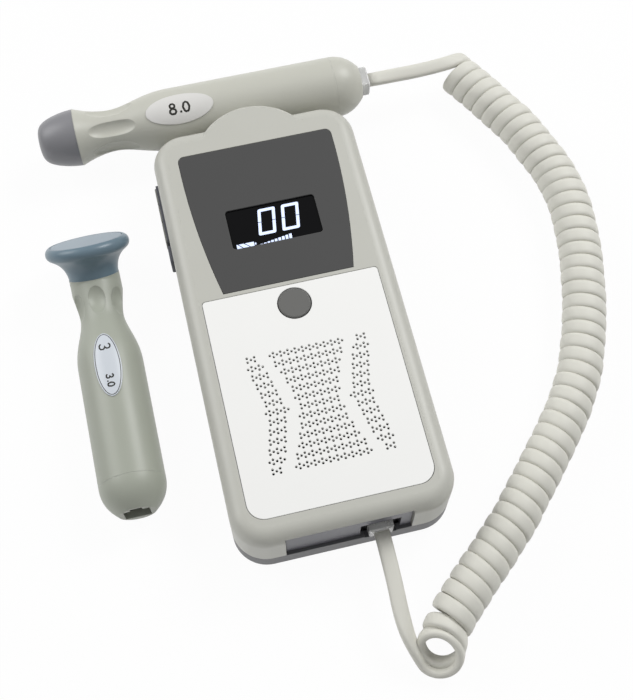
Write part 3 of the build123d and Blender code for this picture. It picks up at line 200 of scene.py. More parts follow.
# %% Wind the coil
END_TILT = math.radians(44)
TILT_HOLD = 1.1
TILT_END = 2.5
END_SQUEEZE = 0.44
END_DROP = 0.0022
END_BULGE = 0.1
BULGE_TURN = 0.8
BULGE_SPAN = 0.25
FIRST_ANGLE = math.radians(212)
LAST_ANGLE = math.radians(66)
TOP_LINE = 0.0139
AXIS_START = 0.0114
AXIS_END = 0.0035
TURN_DRIFT = 0.00022
TURN_LEAN = math.radians(1.6)
SIZE_DRIFT = 0.006
SIZE_RATE = 2
DRIFT_RATE = 0.45
DRIFT_GAIN = 1.6
TILT_SEED = 7.0
LEAN_SEED = 19.0
SIZE_SEED = 3.0
DROP_SEED = 11.0
SIDE_SEED = 5.0


def ease(share):
    """A smooth step from 0 to 1."""
    share = min(max(share, 0.0), 1.0)
    return share * share * (3 - 2 * share)


def openness(turn):
    """How far a turn is pulled open, from 1 at the unit's end to 0 in the close coil."""
    return 1 - ease((turn - TILT_HOLD) / (TILT_END - TILT_HOLD))


def wobble(turn, seed):
    """A slow random drift along the coil, from about -1 to 1."""
    return noise.noise(Vector((turn * DRIFT_RATE, seed, 0.0))) * DRIFT_GAIN


last_turn = TURNS + (LAST_ANGLE - FIRST_ANGLE) / math.tau
helix_steps = int(last_turn * STEPS_PER_TURN)
turn_of_step = [last_turn * i / helix_steps for i in range(helix_steps + 1)]
stretch = [1 - END_SQUEEZE * openness(turn) for turn in turn_of_step]
PITCH = (coil_axis.length - AXIS_START - AXIS_END) / sum(stretch) * STEPS_PER_TURN
helix = []
helix_faces = []
along = AXIS_START
for turn, share in zip(turn_of_step, stretch):
    heading = coil_axis.heading(along)
    heading.z = 0
    heading.normalize()
    side = heading.cross(UP)
    tilt = END_TILT * openness(turn) + TURN_LEAN * wobble(turn, TILT_SEED)
    back_up = UP * math.cos(tilt) + heading * math.sin(tilt)
    lean = TURN_LEAN * wobble(turn, LEAN_SEED)
    side = side * math.cos(lean) + heading * math.sin(lean)
    bulge = END_BULGE * ease(1 - abs(turn - BULGE_TURN) / BULGE_SPAN)
    radius = COIL_RADIUS * (1 + bulge + SIZE_DRIFT * wobble(turn * SIZE_RATE, SIZE_SEED))
    centre = coil_axis.place(along) - heading * COIL_RADIUS * math.sin(tilt)
    droop = TURN_DRIFT * (1 + wobble(turn, DROP_SEED)) / 2
    centre.z = TOP_LINE - COIL_RADIUS * math.cos(tilt) - droop
    centre.z -= END_DROP * openness(turn) ** 2
    centre += side * TURN_DRIFT * wobble(turn, SIDE_SEED)
    angle = FIRST_ANGLE + math.tau * turn
    outward = side * math.cos(angle) + back_up * math.sin(angle)
    helix.append(centre + outward * radius)
    helix_faces.append(outward)
    along += PITCH * share / STEPS_PER_TURN
print("helix:", len(helix), "points, pitch", round(PITCH / MM, 2), "mm")

# %% [markdown]
# ## One cord from plug to plug
# The leads carry on from the helix at both ends. The cord leaves each plug with its flat
# face up and rolls over only where it meets the turns, so the face directions of the
# lead points go from upright to outward in a few steps.

# %% Sweep the cord
SECTION_POINTS = 14
SECTION_POWER = 0.62
UNIT_ROLL = (0.0, 0.0, 0.08, 0.25, 0.6)
PROBE_ROLL = (0.1, 0.03, 0.0, 0.0, 0.0)
PROBE_LEAN = Vector((0, -0.35, 1))

unit_lead = [Vector(place) for place in UNIT_LEAD_ROUTE]
probe_lead = [Vector(place) for place in PROBE_LEAD_ROUTE]
unit_faces = [(-UP).lerp(helix_faces[0], share).normalized() for share in UNIT_ROLL]
probe_faces = [PROBE_LEAN.lerp(helix_faces[-1], share).normalized() for share in PROBE_ROLL]
probe_faces[-1] = UP
middles = unit_lead + helix + probe_lead
faces = unit_faces + helix_faces + probe_faces
outers = [place + face * FACE_OFFSET for place, face in zip(middles, faces)]
cord_line, outer_line = spline_points([middles, outers], SPLINE_STEPS)


def flat_section(width, thickness):
    """A flat section with soft rounded sides, as pairs of across and outward."""
    section = []
    for i in range(SECTION_POINTS):
        angle = math.tau * i / SECTION_POINTS
        across = math.copysign(abs(math.cos(angle)) ** SECTION_POWER, math.cos(angle))
        outward = math.copysign(abs(math.sin(angle)) ** SECTION_POWER, math.sin(angle))
        section.append((across * width / 2, outward * thickness / 2))
    return section


def swept_mesh(name, line, outer, section):
    """A closed mesh of one section carried along a line, its top facing the outer line."""
    verts = []
    count = len(section)
    for i, place in enumerate(line):
        travel = (line[min(i + 1, len(line) - 1)] - line[max(i - 1, 0)]).normalized()
        face = outer[i] - place
        face = (face - travel * face.dot(travel)).normalized()
        across = travel.cross(face)
        verts += [place + across * x + face * y for x, y in section]
    quads = []
    for i in range(len(line) - 1):
        for j in range(count):
            k = (j + 1) % count
            near, far = i * count, (i + 1) * count
            quads.append((near + j, near + k, far + k, far + j))
    last = (len(line) - 1) * count
    quads.append(tuple(reversed(range(count))))
    quads.append(tuple(range(last, last + count)))
    mesh = bpy.data.meshes.new(name)
    mesh.from_pydata(verts, [], quads)
    mesh.update()
    for polygon in mesh.polygons:
        polygon.use_smooth = True
    piece = bpy.data.objects.new(name, mesh)
    bpy.context.scene.collection.objects.link(piece)
    return piece


cord_section = flat_section(CORD_WIDTH, CORD_THICKNESS)
curly_cord = swept_mesh("curly_cord", cord_line, outer_line, cord_section)
measured = Route(cord_line).length
print("cord:", round(measured, 3), "m,", len(curly_cord.data.vertices), "vertices")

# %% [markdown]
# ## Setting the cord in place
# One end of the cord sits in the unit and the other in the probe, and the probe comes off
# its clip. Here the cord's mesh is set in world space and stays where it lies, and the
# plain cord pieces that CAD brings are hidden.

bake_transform(curly_cord)
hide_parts("cord_unit_lead", "cord_coil", "cord_probe_lead")

# %% [markdown]
# ## Finishes
# Nearly everything here is moulded plastic, and what tells one moulding from another is
# its colour, its gloss and how fine its skin is. One node group makes that skin: a faint
# mottle in the colour, a fine grain for the bump, and uneven gloss. A second group finds
# the edges: it softens their normal so that they catch the real light, and mixes a paler
# tone into their colour that is partly wear and partly a painted highlight.

# %% Node helpers


def new_group(name, inputs, outputs):
    """A shader node group with named sockets; each is a name, a kind and a start value."""
    group = bpy.data.node_groups.new(name, "ShaderNodeTree")
    for label, kind, value in inputs:
        socket = group.interface.new_socket(label, in_out="INPUT", socket_type="NodeSocket" + kind)
        socket.default_value = value
    for label, kind in outputs:
        group.interface.new_socket(label, in_out="OUTPUT", socket_type="NodeSocket" + kind)
    start = group.nodes.new("NodeGroupInput")
    end = group.nodes.new("NodeGroupOutput")
    return group, start, end


def math_node(tree, operation, first, second=None, clamp=False):
    """A Math node; each argument is an output socket or a plain number."""
    node = tree.nodes.new("ShaderNodeMath")
    node.operation = operation
    node.use_clamp = clamp
    for socket, value in zip(node.inputs, (first, second)):
        if isinstance(value, (int, float)):
            socket.default_value = value
        elif value is not None:
            tree.links.new(value, socket)
    return node.outputs[0]


def noise_node(tree, scale, detail=2.0, roughness=0.5):
    """Noise over the object's own space; scale is a socket or a number per metre."""
    place = tree.nodes.new("ShaderNodeTexCoord")
    node = tree.nodes.new("ShaderNodeTexNoise")
    tree.links.new(place.outputs["Object"], node.inputs["Vector"])
    if isinstance(scale, (int, float)):
        node.inputs["Scale"].default_value = scale
    else:
        tree.links.new(scale, node.inputs["Scale"])
    node.inputs["Detail"].default_value = detail
    node.inputs["Roughness"].default_value = roughness
    return node.outputs["Fac"]


def mix_colour(tree, share, first, second, blend="MIX"):
    """A colour mix; share and the colours are sockets or values."""
    node = tree.nodes.new("ShaderNodeMix")
    node.data_type = "RGBA"
    node.blend_type = blend
    for label, value in (("Factor_Float", share), ("A_Color", first), ("B_Color", second)):
        socket = next(s for s in node.inputs if s.identifier == label)
        if hasattr(value, "is_output"):
            tree.links.new(value, socket)
        else:
            socket.default_value = value
    return next(s for s in node.outputs if s.identifier == "Result_Color")


print("helpers: groups with named sockets, math, noise and colour mix")

# %% [markdown]
# The skin group keeps its noises at real sizes, because the scale counts cells per metre.
# The edge group compares the true normal with one softened over a third of a millimetre.

# %% Shared node groups
CLOUD_SCALE = 60.0
SPECK_SCALE = 900.0
CLOUD_SHARE = 0.65
SPECK_SHARE = 0.35
GLOSS_SWING = 0.16
EDGE_REACH = 0.00035
EDGE_GAIN = 2.0


def moulded_skin_group():
    """Moulded plastic's skin: mottled colour, uneven gloss and a fine grain."""
    group, start, end = new_group(
        "moulded skin",
        [("Colour", "Color", (0.5, 0.5, 0.5, 1)), ("Mottle", "Float", 0.05),
         ("Roughness", "Float", 0.4), ("Grain Scale", "Float", 2500.0)],
        [("Colour", "Color"), ("Roughness", "Float"), ("Height", "Float")],
    )
    cloud = noise_node(group, CLOUD_SCALE, 4.0)
    speck = noise_node(group, SPECK_SCALE, 3.0)
    grain = noise_node(group, start.outputs["Grain Scale"], 2.0)
    spread = math_node(group, "ADD", math_node(group, "MULTIPLY", cloud, CLOUD_SHARE),
                       math_node(group, "MULTIPLY", speck, SPECK_SHARE))
    lift = math_node(group, "SUBTRACT", spread, 0.5)
    gain = math_node(group, "ADD", math_node(group, "MULTIPLY", lift, start.outputs["Mottle"]), 1.0)
    scaled = group.nodes.new("ShaderNodeVectorMath")
    scaled.operation = "SCALE"
    group.links.new(start.outputs["Colour"], scaled.inputs[0])
    group.links.new(gain, scaled.inputs["Scale"])
    rough = math_node(group, "ADD", start.outputs["Roughness"],
                      math_node(group, "MULTIPLY", lift, GLOSS_SWING), clamp=True)
    group.links.new(scaled.outputs[0], end.inputs["Colour"])
    group.links.new(rough, end.inputs["Roughness"])
    group.links.new(grain, end.inputs["Height"])
    return group


def edge_group():
    """Where edges are: 1 on an edge, 0 on a face, and a softened normal. The edge mask pales
    colour, partly wear and partly a painted highlight.
    """
    group, start, end = new_group(
        "edge wear and painted highlight", [("Gain", "Float", EDGE_GAIN)], [("Edge", "Float"), ("Normal", "Vector")],
    )
    bevel = group.nodes.new("ShaderNodeBevel")
    bevel.samples = 4
    bevel.inputs["Radius"].default_value = EDGE_REACH
    place = group.nodes.new("ShaderNodeNewGeometry")
    dot = group.nodes.new("ShaderNodeVectorMath")
    dot.operation = "DOT_PRODUCT"
    group.links.new(bevel.outputs[0], dot.inputs[0])
    group.links.new(place.outputs["Normal"], dot.inputs[1])
    turned = math_node(group, "SUBTRACT", 1.0, dot.outputs["Value"])
    edge = math_node(group, "MULTIPLY", turned, start.outputs["Gain"], clamp=True)
    group.links.new(edge, end.inputs["Edge"])
    group.links.new(bevel.outputs[0], end.inputs["Normal"])
    return group


SKIN = moulded_skin_group()
EDGES = edge_group()
print("node groups:", SKIN.name, "and", EDGES.name)

# %% [markdown]
# ## One function for a moulding
# A colour is written as the sRGB hex value that a paint chip would show, and turned into
# the linear numbers that Blender works with. The function places both groups, mixes a
# paler tone in along the edges, partly wear and partly a painted highlight, and feeds one
# Principled shader.

# %% A moulding's material
WHITE = (1.0, 1.0, 1.0, 1.0)
RELIEF_DEPTH = 0.0001


def linear(hex_colour):
    """An sRGB hex colour as linear RGBA."""
    channels = [int(hex_colour[i:i + 2], 16) / 255 for i in (1, 3, 5)]
    lit = [c / 12.92 if c <= 0.04045 else ((c + 0.055) / 1.055) ** 2.4 for c in channels]
    return (*lit, 1.0)


def moulded(name, colour, roughness=0.4, mottle=0.06, grain=2500.0, bump=0.06, edge=0.25,
            metal=0.0, specular=0.5):
    """A material for one moulding, sheet or casting."""
    material = bpy.data.materials.new(name)
    material.use_nodes = True
    tree = material.node_tree
    shader = tree.nodes["Principled BSDF"]
    skin = tree.nodes.new("ShaderNodeGroup")
    skin.node_tree = SKIN
    skin.inputs["Colour"].default_value = linear(colour)
    skin.inputs["Mottle"].default_value = mottle
    skin.inputs["Roughness"].default_value = roughness
    skin.inputs["Grain Scale"].default_value = grain
    edges = tree.nodes.new("ShaderNodeGroup")
    edges.node_tree = EDGES
    edges.inputs["Gain"].default_value = EDGE_GAIN
    # The paler tone along the edges is partly wear and partly a painted highlight.
    pale = mix_colour(tree, math_node(tree, "MULTIPLY", edges.outputs["Edge"], edge),
                      skin.outputs["Colour"], WHITE)
    tree.links.new(pale, shader.inputs["Base Color"])
    tree.links.new(skin.outputs["Roughness"], shader.inputs["Roughness"])
    relief = tree.nodes.new("ShaderNodeBump")
    relief.inputs["Strength"].default_value = bump
    relief.inputs["Distance"].default_value = RELIEF_DEPTH
    tree.links.new(skin.outputs["Height"], relief.inputs["Height"])
    tree.links.new(edges.outputs["Normal"], relief.inputs["Normal"])
    tree.links.new(relief.outputs["Normal"], shader.inputs["Normal"])
    shader.inputs["Metallic"].default_value = metal
    shader.inputs["Specular IOR Level"].default_value = specular
    return material


def dress(material, *nodes):
    """Put a material on CAD nodes."""
    for node in nodes:
        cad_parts[node].material_slots[0].material = material


print("#808080 is", round(linear("#808080")[0], 3), "in linear light")

# %% [markdown]
# ## Dressing the pieces
# Each line is one moulding, sheet or casting and the pieces made of it. Mottle, grain,
# bump and edge are given only where a piece differs from plain moulded plastic: rubber is
# matt and coarse, the printed cover fine and flat, the metals reflect.

# %% Mouldings you see
dress(moulded("case front", "#C6C6BE", 0.42, 0.05, bump=0.05), "front_case")
dress(moulded("case back", "#626265", 0.45, 0.07), "back_case", "battery_door", "probe_cradle")
dress(moulded("end panel", "#6A6A72", 0.4, 0.07), "end_panel")
dress(moulded("speaker plate", "#FBFBF9", 0.4, 0.02, bump=0.02, edge=0.1, specular=0.2),
      "speaker_plate")
dress(moulded("display cover", "#525252", 0.5, 0.04, 5000.0, 0.04, 0.1, specular=0.15),
      "display_cover")
dress(moulded("power button", "#70706E", 0.5, 0.08, 3000.0, specular=0.2), "power_button")
dress(moulded("key rubber", "#85857F", 0.55, 0.1, 2200.0, 0.1),
      "volume_up_key", "volume_down_key", "mode_key")
dress(moulded("bezel rubber", "#5C5E66", 0.55, 0.1, 2200.0, 0.1), "key_bezel", "sound_surround")
dress(moulded("cradle pad", "#343436", 0.7, 0.12, 1800.0, 0.2), "cradle_pad")
dress(moulded("pencil body", "#C8C8BE", 0.42, 0.05), "probe_handle", "probe_tail")
dress(moulded("spare body", "#ABAFA3", 0.42, 0.05), "spare_handle", "spare_tail")
dress(moulded("pencil label", "#E2E1DE", 0.35, 0.02, bump=0.02, edge=0.0), "probe_label")
dress(moulded("spare label", "#D6DCE3", 0.35, 0.02, bump=0.02, edge=0.0), "spare_label")
dress(moulded("pencil tip", "#8A8A8E", 0.4, 0.07), "probe_tip")
dress(moulded("disc head", "#6E8390", 0.34, 0.08), "spare_head")
# The disc face is a paler copy of the head's blue-grey: painted light on the face.
dress(moulded("disc face painted light", "#95A3AE", 0.45, 0.07), "spare_face")
dress(moulded("black plastic", "#161617", 0.35, 0.1),
      "sound_socket", "unit_jack", "probe_socket", "spare_socket")
cord_sheath = moulded("cord sheath", "#DFDED5", 0.5, 0.04, 2500.0, 0.04, 0.0, specular=0.3)
curly_cord.data.materials.append(cord_sheath)
print("materials so far:", len(bpy.data.materials))

# %% [markdown]
# The inside pieces show only when the object is taken apart, but they get the same care:
# boards, chips, metal parts, the speaker's cloth and paper, and the ceramic crystals.

# %% Pieces inside
dress(moulded("chip", "#1C1C1E", 0.5, 0.15), "board_parts", "key_switches", "power_switch")
dress(moulded("solder mask", "#1F5A34", 0.3, 0.15, 1200.0),
      "main_board", "jack_board", "probe_board", "spare_board")
dress(moulded("display module", "#121216", 0.2, 0.05), "display_module")
dress(moulded("acoustic cloth", "#0C0C0C", 0.95, 0.4, 1600.0, 0.6, 0.0), "speaker_cloth")
dress(moulded("pressed paper", "#232323", 0.9, 0.3, 1200.0, 0.5, 0.0), "speaker_cone")
dress(moulded("ferrite", "#2A2A2C", 0.6, 0.2, metal=0.2), "speaker_magnet")
dress(moulded("black steel", "#3C3C3E", 0.4, 0.1, metal=0.9), "speaker_frame")
dress(moulded("zinc steel", "#B4B4B8", 0.32, 0.12, metal=1.0), "board_screws", "case_screws")
dress(moulded("nickel steel", "#C8C8CC", 0.25, 0.08, metal=1.0),
      "battery_springs", "battery_contacts")
dress(moulded("battery can", "#A8A8A4", 0.3, 0.06, metal=0.8), "batteries")
dress(moulded("gold flash", "#D9AE5A", 0.25, 0.05, metal=1.0),
      "unit_jack_wires", "unit_plug_blades", "probe_plug_blades", "probe_socket_wires",
      "spare_socket_wires")
dress(moulded("ceramic", "#D6D2C2", 0.4, 0.06), "probe_crystal", "spare_crystals")
dress(moulded("cast backing", "#2A2A2A", 0.8, 0.2), "probe_backing")
print("materials:", len(bpy.data.materials))

# %% [markdown]
# ## Clear plugs and the smoked window
# The modular plugs are clear, with a milky haze. The window is nearly black until the
# display behind it is lit, so it is a glossy dark sheet rather than glass.

# %% Clear and glossy materials
HAZE_SCALE = 400.0
TINT_SCALE = 250.0
CLEAR_SHARE = 0.35
CLEAR_IOR = 1.4


def clear_moulding(name, tint, roughness):
    """Clear plastic with a milky haze that varies over the piece."""
    material = bpy.data.materials.new(name)
    material.use_nodes = True
    tree = material.node_tree
    shader = tree.nodes["Principled BSDF"]
    haze = math_node(tree, "MULTIPLY", noise_node(tree, HAZE_SCALE, 3.0), roughness * 2, clamp=True)
    tree.links.new(haze, shader.inputs["Roughness"])
    tinted = mix_colour(tree, noise_node(tree, TINT_SCALE, 2.0), linear(tint), WHITE)
    tree.links.new(tinted, shader.inputs["Base Color"])
    shader.inputs["Transmission Weight"].default_value = CLEAR_SHARE
    shader.inputs["IOR"].default_value = CLEAR_IOR
    return material


dress(clear_moulding("clear plug", "#E6E7E4", 0.22), "unit_plug", "probe_plug")
dress(moulded("smoked window", "#08080A", 0.14, 0.05, bump=0.0, edge=0.0, specular=0.25),
      "display_lens")
print("the window and the plugs are done")

# %% [markdown]
# ## The lit display
# The window hides a light-emitting display: two big digits in two halves, a battery mark
# and a stair of short bars for the signal. They could be a picture, but a picture is
# fixed at one size. Here each mark is a thin slab, drawn as a flat outline in
# millimetres and set on the window, so it stays sharp from close by.

# %% Draw the display
WINDOW_TOP = 26.4
MARK_LIFT = 0.02
MARK_THICKNESS = 0.04
DIGIT_WIDTH = 5.9
DIGIT_HEIGHT = 9.8
DIGIT_LEAN = 0.155
DIGIT_STROKE = 1.05
DIGIT_CORNER = 0.55
CORNER_CUT = 0.3
SIDE_GAP = 0.22
DIGIT_FEET = ((-5.85, 28.15), (2.15, 28.15))
STAIR_START = (-6.2, 24.7)
STAIR_BARS = 9
STAIR_PITCH = 1.24
STAIR_DROP = 0.04
BAR_WIDTH = 0.9
BAR_LEAN = 0.15
FIRST_BAR = 0.3
BAR_GROWTH = 0.24
BATTERY_PLACE = (-13.8, 24.72)
BATTERY_HEIGHT = 1.7
BATTERY_CELLS = ((0.0, 1.9, 0.0, 0.3), (2.3, 4.3, 0.7, 2.4), (4.7, 5.8, 2.8, 5.8))
BATTERY_NUB = (6.0, 6.5, 0.5, 1.2)


def slab_mesh(name, outlines, height, thickness):
    """Thin slabs with the given outlines, each a list of (x, y) in millimetres."""
    verts = []
    faces = []
    for outline in outlines:
        count = len(outline)
        base = len(verts)
        verts += [(x * MM, y * MM, height * MM) for x, y in outline]
        verts += [(x * MM, y * MM, (height + thickness) * MM) for x, y in outline]
        faces.append(tuple(base + i for i in reversed(range(count))))
        faces.append(tuple(base + count + i for i in range(count)))
        for i in range(count):
            k = (i + 1) % count
            faces.append((base + i, base + k, base + count + k, base + count + i))
    mesh = bpy.data.meshes.new(name)
    mesh.from_pydata(verts, [], faces)
    mesh.update()
    piece = bpy.data.objects.new(name, mesh)
    bpy.context.scene.collection.objects.link(piece)
    return piece


def zero_halves():
    """The lower and upper half of a 0, as outlines in a box from (0, 0) to its width and height."""
    wide, high, stroke, corner = DIGIT_WIDTH, DIGIT_HEIGHT, DIGIT_STROKE, DIGIT_CORNER
    split = high / 2 - SIDE_GAP / 2
    near = corner * CORNER_CUT
    lower = [
        (0, split), (0, corner), (near, near), (corner, 0),
        (wide - corner, 0), (wide - near, near), (wide, corner), (wide, split),
        (wide - stroke, split), (wide - stroke, stroke), (stroke, stroke), (stroke, split),
    ]
    upper = [(x, high - y) for x, y in reversed(lower)]
    return [lower, upper]


def leaning(outline, foot):
    """An outline moved to its foot and leaned to the right."""
    return [(foot[0] + x + y * DIGIT_LEAN, foot[1] + y) for x, y in outline]


def stair_bars():
    """A stair of leaning bars that grow to the right."""
    bars = []
    for i in range(STAIR_BARS):
        x = STAIR_START[0] + i * STAIR_PITCH
        foot = STAIR_START[1] - i * STAIR_DROP
        top = foot + FIRST_BAR + i * BAR_GROWTH
        tip = x + BAR_LEAN
        bars.append([(x, foot), (x + BAR_WIDTH, foot), (tip + BAR_WIDTH, top), (tip, top)])
    return bars


def battery_cells():
    """A battery seen from the side: its nub, then its cells between slanted gaps."""
    left, right, low, high = BATTERY_NUB
    outlines = [[(left, low), (right, low), (right, high), (left, high)]]
    for foot_left, foot_right, top_left, top_right in BATTERY_CELLS:
        foot = [(foot_left, 0.0), (foot_right, 0.0)]
        outlines.append(foot + [(top_right, BATTERY_HEIGHT), (top_left, BATTERY_HEIGHT)])
    left_foot, low_foot = BATTERY_PLACE
    return [[(left_foot + x, low_foot + y) for x, y in outline] for outline in outlines]


digit_halves = [leaning(half, foot) for foot in DIGIT_FEET for half in zero_halves()]
mark_floor = WINDOW_TOP + MARK_LIFT
digits = slab_mesh("lit_digits", digit_halves, mark_floor, MARK_THICKNESS)
stair = slab_mesh("lit_signal_bars", stair_bars(), mark_floor, MARK_THICKNESS)
battery_mark = slab_mesh("lit_battery_mark", battery_cells(), mark_floor, MARK_THICKNESS)
print("display:", sum(len(piece.data.polygons) for piece in (digits, stair, battery_mark)), "faces")

# %% [markdown]
# The marks give off their own light, a cool white that isn't quite even.

# %% Light the display
GLOW_SCALE = 700.0
GLOW_SWING = 0.3
GLOW_FLOOR = 0.85


def glowing(name, colour, strength):
    """Light-emitting marks: a lit colour that is a little uneven, over pale plastic."""
    material = bpy.data.materials.new(name)
    material.use_nodes = True
    tree = material.node_tree
    shader = tree.nodes["Principled BSDF"]
    swing = math_node(tree, "MULTIPLY", noise_node(tree, GLOW_SCALE, 2.0), GLOW_SWING)
    uneven = math_node(tree, "ADD", swing, GLOW_FLOOR)
    scaled = tree.nodes.new("ShaderNodeVectorMath")
    scaled.operation = "SCALE"
    scaled.inputs[0].default_value = linear(colour)[:3]
    tree.links.new(uneven, scaled.inputs["Scale"])
    tree.links.new(scaled.outputs[0], shader.inputs["Base Color"])
    tree.links.new(scaled.outputs[0], shader.inputs["Emission Color"])
    shader.inputs["Emission Strength"].default_value = strength
    shader.inputs["Roughness"].default_value = 0.5
    return material


lit = glowing("lit segments", "#CBD8F6", 0.62)
for piece in (digits, stair, battery_mark):
    piece.data.materials.append(lit)
    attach(piece, "unit")
print("lit marks:", digits.name, stair.name, battery_mark.name)

# %% [markdown]
# ## Printing on the labels
# Each probe's oval label has a plain number, and the spare's has a thin rim. The label is
# curved, so each stroke is first drawn flat, cut into short steps, and then dropped
# straight onto the label's surface. Thin strips lifted 0.03 mm off it read as ink.

# %% Strokes on a curved label
INK_LIFT = 0.00003
INK_STEP = 0.0004
DROP_HEIGHT = 0.02
SIGN_WIDTH = 0.62
SIGN_PITCH = 0.86
POINT_PITCH = 0.55
OWN_DIGITS = {
    "0": (((0.5, 0.0), (0.82, 0.12), (1.0, 0.5), (0.82, 0.88), (0.5, 1.0), (0.18, 0.88),
           (0.0, 0.5), (0.18, 0.12), (0.5, 0.0)),),
    "3": (((0.05, 0.86), (0.28, 1.0), (0.62, 1.0), (0.86, 0.88), (0.88, 0.68), (0.68, 0.54),
           (0.4, 0.52), (0.72, 0.5), (0.98, 0.34), (0.94, 0.12), (0.66, 0.0), (0.28, 0.0),
           (0.0, 0.16)),),
    "8": (((0.5, 0.54), (0.84, 0.66), (0.88, 0.86), (0.66, 1.0), (0.34, 1.0), (0.12, 0.86),
           (0.16, 0.66), (0.5, 0.54), (0.9, 0.4), (1.0, 0.18), (0.76, 0.0), (0.24, 0.0),
           (0.0, 0.18), (0.1, 0.4), (0.5, 0.54)),),
    ".": (((0.35, 0.0), (0.35, 0.2)),),
}


class Label:
    """A label's own flat frame: along reads along the label, rise is the top of its digits."""

    def __init__(self, node, along, rise):
        self.outward = along.cross(rise).normalized()
        self.along = along.normalized()
        self.rise = rise.normalized()
        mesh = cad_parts[node].data
        corners = [vertex.co for vertex in mesh.vertices]
        self.tree = BVHTree.FromPolygons(corners, [polygon.vertices for polygon in mesh.polygons])
        low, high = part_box(node)
        self.middle = (Vector(low) + Vector(high)) / 2

    def drop(self, x, y):
        """The point of the label's surface under flat coordinates, in metres."""
        above = self.middle + self.along * x + self.rise * y + self.outward * DROP_HEIGHT
        hit = self.tree.ray_cast(above, -self.outward)[0]
        return None if hit is None else hit + self.outward * INK_LIFT


def ink(name, label, paths, width):
    """Strips of one width that follow flat paths over a label's surface."""
    verts = []
    faces = []
    for path_points in paths:
        fine = [Vector(path_points[0])]
        for a, b in zip(path_points, path_points[1:]):
            a, b = Vector(a), Vector(b)
            steps = max(1, int((b - a).length / INK_STEP))
            fine += [a.lerp(b, (i + 1) / steps) for i in range(steps)]
        previous = None
        for i, point in enumerate(fine):
            ahead = fine[min(i + 1, len(fine) - 1)] - fine[max(i - 1, 0)]
            sideways = Vector((-ahead.y, ahead.x)).normalized() * width / 2
            pair = [label.drop(*(point + sideways)), label.drop(*(point - sideways))]
            if None in pair:
                previous = None
                continue
            verts += pair
            if previous is not None:
                faces.append((previous, previous + 1, len(verts) - 1, len(verts) - 2))
            previous = len(verts) - 2
    mesh = bpy.data.meshes.new(name)
    mesh.from_pydata(verts, [], faces)
    mesh.update()
    piece = bpy.data.objects.new(name, mesh)
    bpy.context.scene.collection.objects.link(piece)
    return piece


def number_paths(text, centre_x, centre_y, height):
    """The strokes of a plain number, centred on a point."""
    wide = height * SIGN_WIDTH
    pitch = height * SIGN_PITCH
    starts = []
    place = 0.0
    for sign in text:
        starts.append(place)
        place += pitch * (POINT_PITCH if sign == "." else 1.0)
    left = centre_x - (place - (pitch - wide)) / 2
    return [
        [(left + start + x * wide, centre_y + (y - 0.5) * height) for x, y in stroke]
        for sign, start in zip(text, starts) for stroke in OWN_DIGITS[sign]
    ]


def oval_path(half_length, half_width, count=72):
    """A closed oval as a path of points."""
    turns = [math.tau * i / count for i in range(count + 1)]
    return [(half_length * math.cos(turn), half_width * math.sin(turn)) for turn in turns]


print("signs:", " ".join(OWN_DIGITS))

# %% [markdown]
# The pencil's label reads along the probe and faces a little towards the foot of the
# unit. The spare's reads towards its tail, with a larger sign near the head.

# %% Numbers and rim
LABEL_TILT = math.radians(18)
PENCIL_SIGN_HEIGHT = 0.0036
PENCIL_STROKE = 0.00072
HEAD_SIGN_PLACE = -0.0062
HEAD_SIGN_HEIGHT = 0.0034
TAIL_SIGN_PLACE = 0.0058
TAIL_SIGN_HEIGHT = 0.0022
SPARE_STROKE = 0.0005
RIM_SIZE = (0.0108, 0.00385)
RIM_STROKE = 0.00022

pencil_rise = Vector((0, math.cos(LABEL_TILT), math.sin(LABEL_TILT)))
pencil_label = Label("probe_label", Vector((1, 0, 0)), pencil_rise)
spare_label = Label("spare_label", Vector((0, -1, 0)), Vector((1, 0, 0)))
pencil_number = number_paths("8.0", 0.0, 0.0, PENCIL_SIGN_HEIGHT)
spare_number = number_paths("3", HEAD_SIGN_PLACE, 0.0, HEAD_SIGN_HEIGHT)
spare_number += number_paths("3.0", TAIL_SIGN_PLACE, 0.0, TAIL_SIGN_HEIGHT)
printing = [
    (ink("pencil_label_number", pencil_label, pencil_number, PENCIL_STROKE), "probe"),
    (ink("spare_label_number", spare_label, spare_number, SPARE_STROKE), "spare_probe"),
    (ink("spare_label_rim", spare_label, [oval_path(*RIM_SIZE)], RIM_STROKE), "spare_probe"),
]
label_ink = moulded("label ink", "#33332F", 0.6, 0.1, bump=0.0, edge=0.0, specular=0.2)
for piece, body in printing:
    piece.data.materials.append(label_ink)
    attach(piece, body)
    print(piece.name, len(piece.data.polygons), "faces")

# %% [markdown]
# ## Floor and background
# The object lies on a white sheet under soft studio light. The sheet is matt and white,
# and what the camera sees of it is mixed with a plain white glow, so that it reads as a
# white background but keeps the object's soft shadows.

# %% Floor
FLOOR_SIZE = 3.0
FLOOR_LEVEL = -0.00005
PAPER_DARK = (0.88, 0.88, 0.88, 1.0)
PAPER_LIGHT = (0.92, 0.92, 0.92, 1.0)
PAPER_SCALE = 40.0
WHITE_SHARE = 0.96


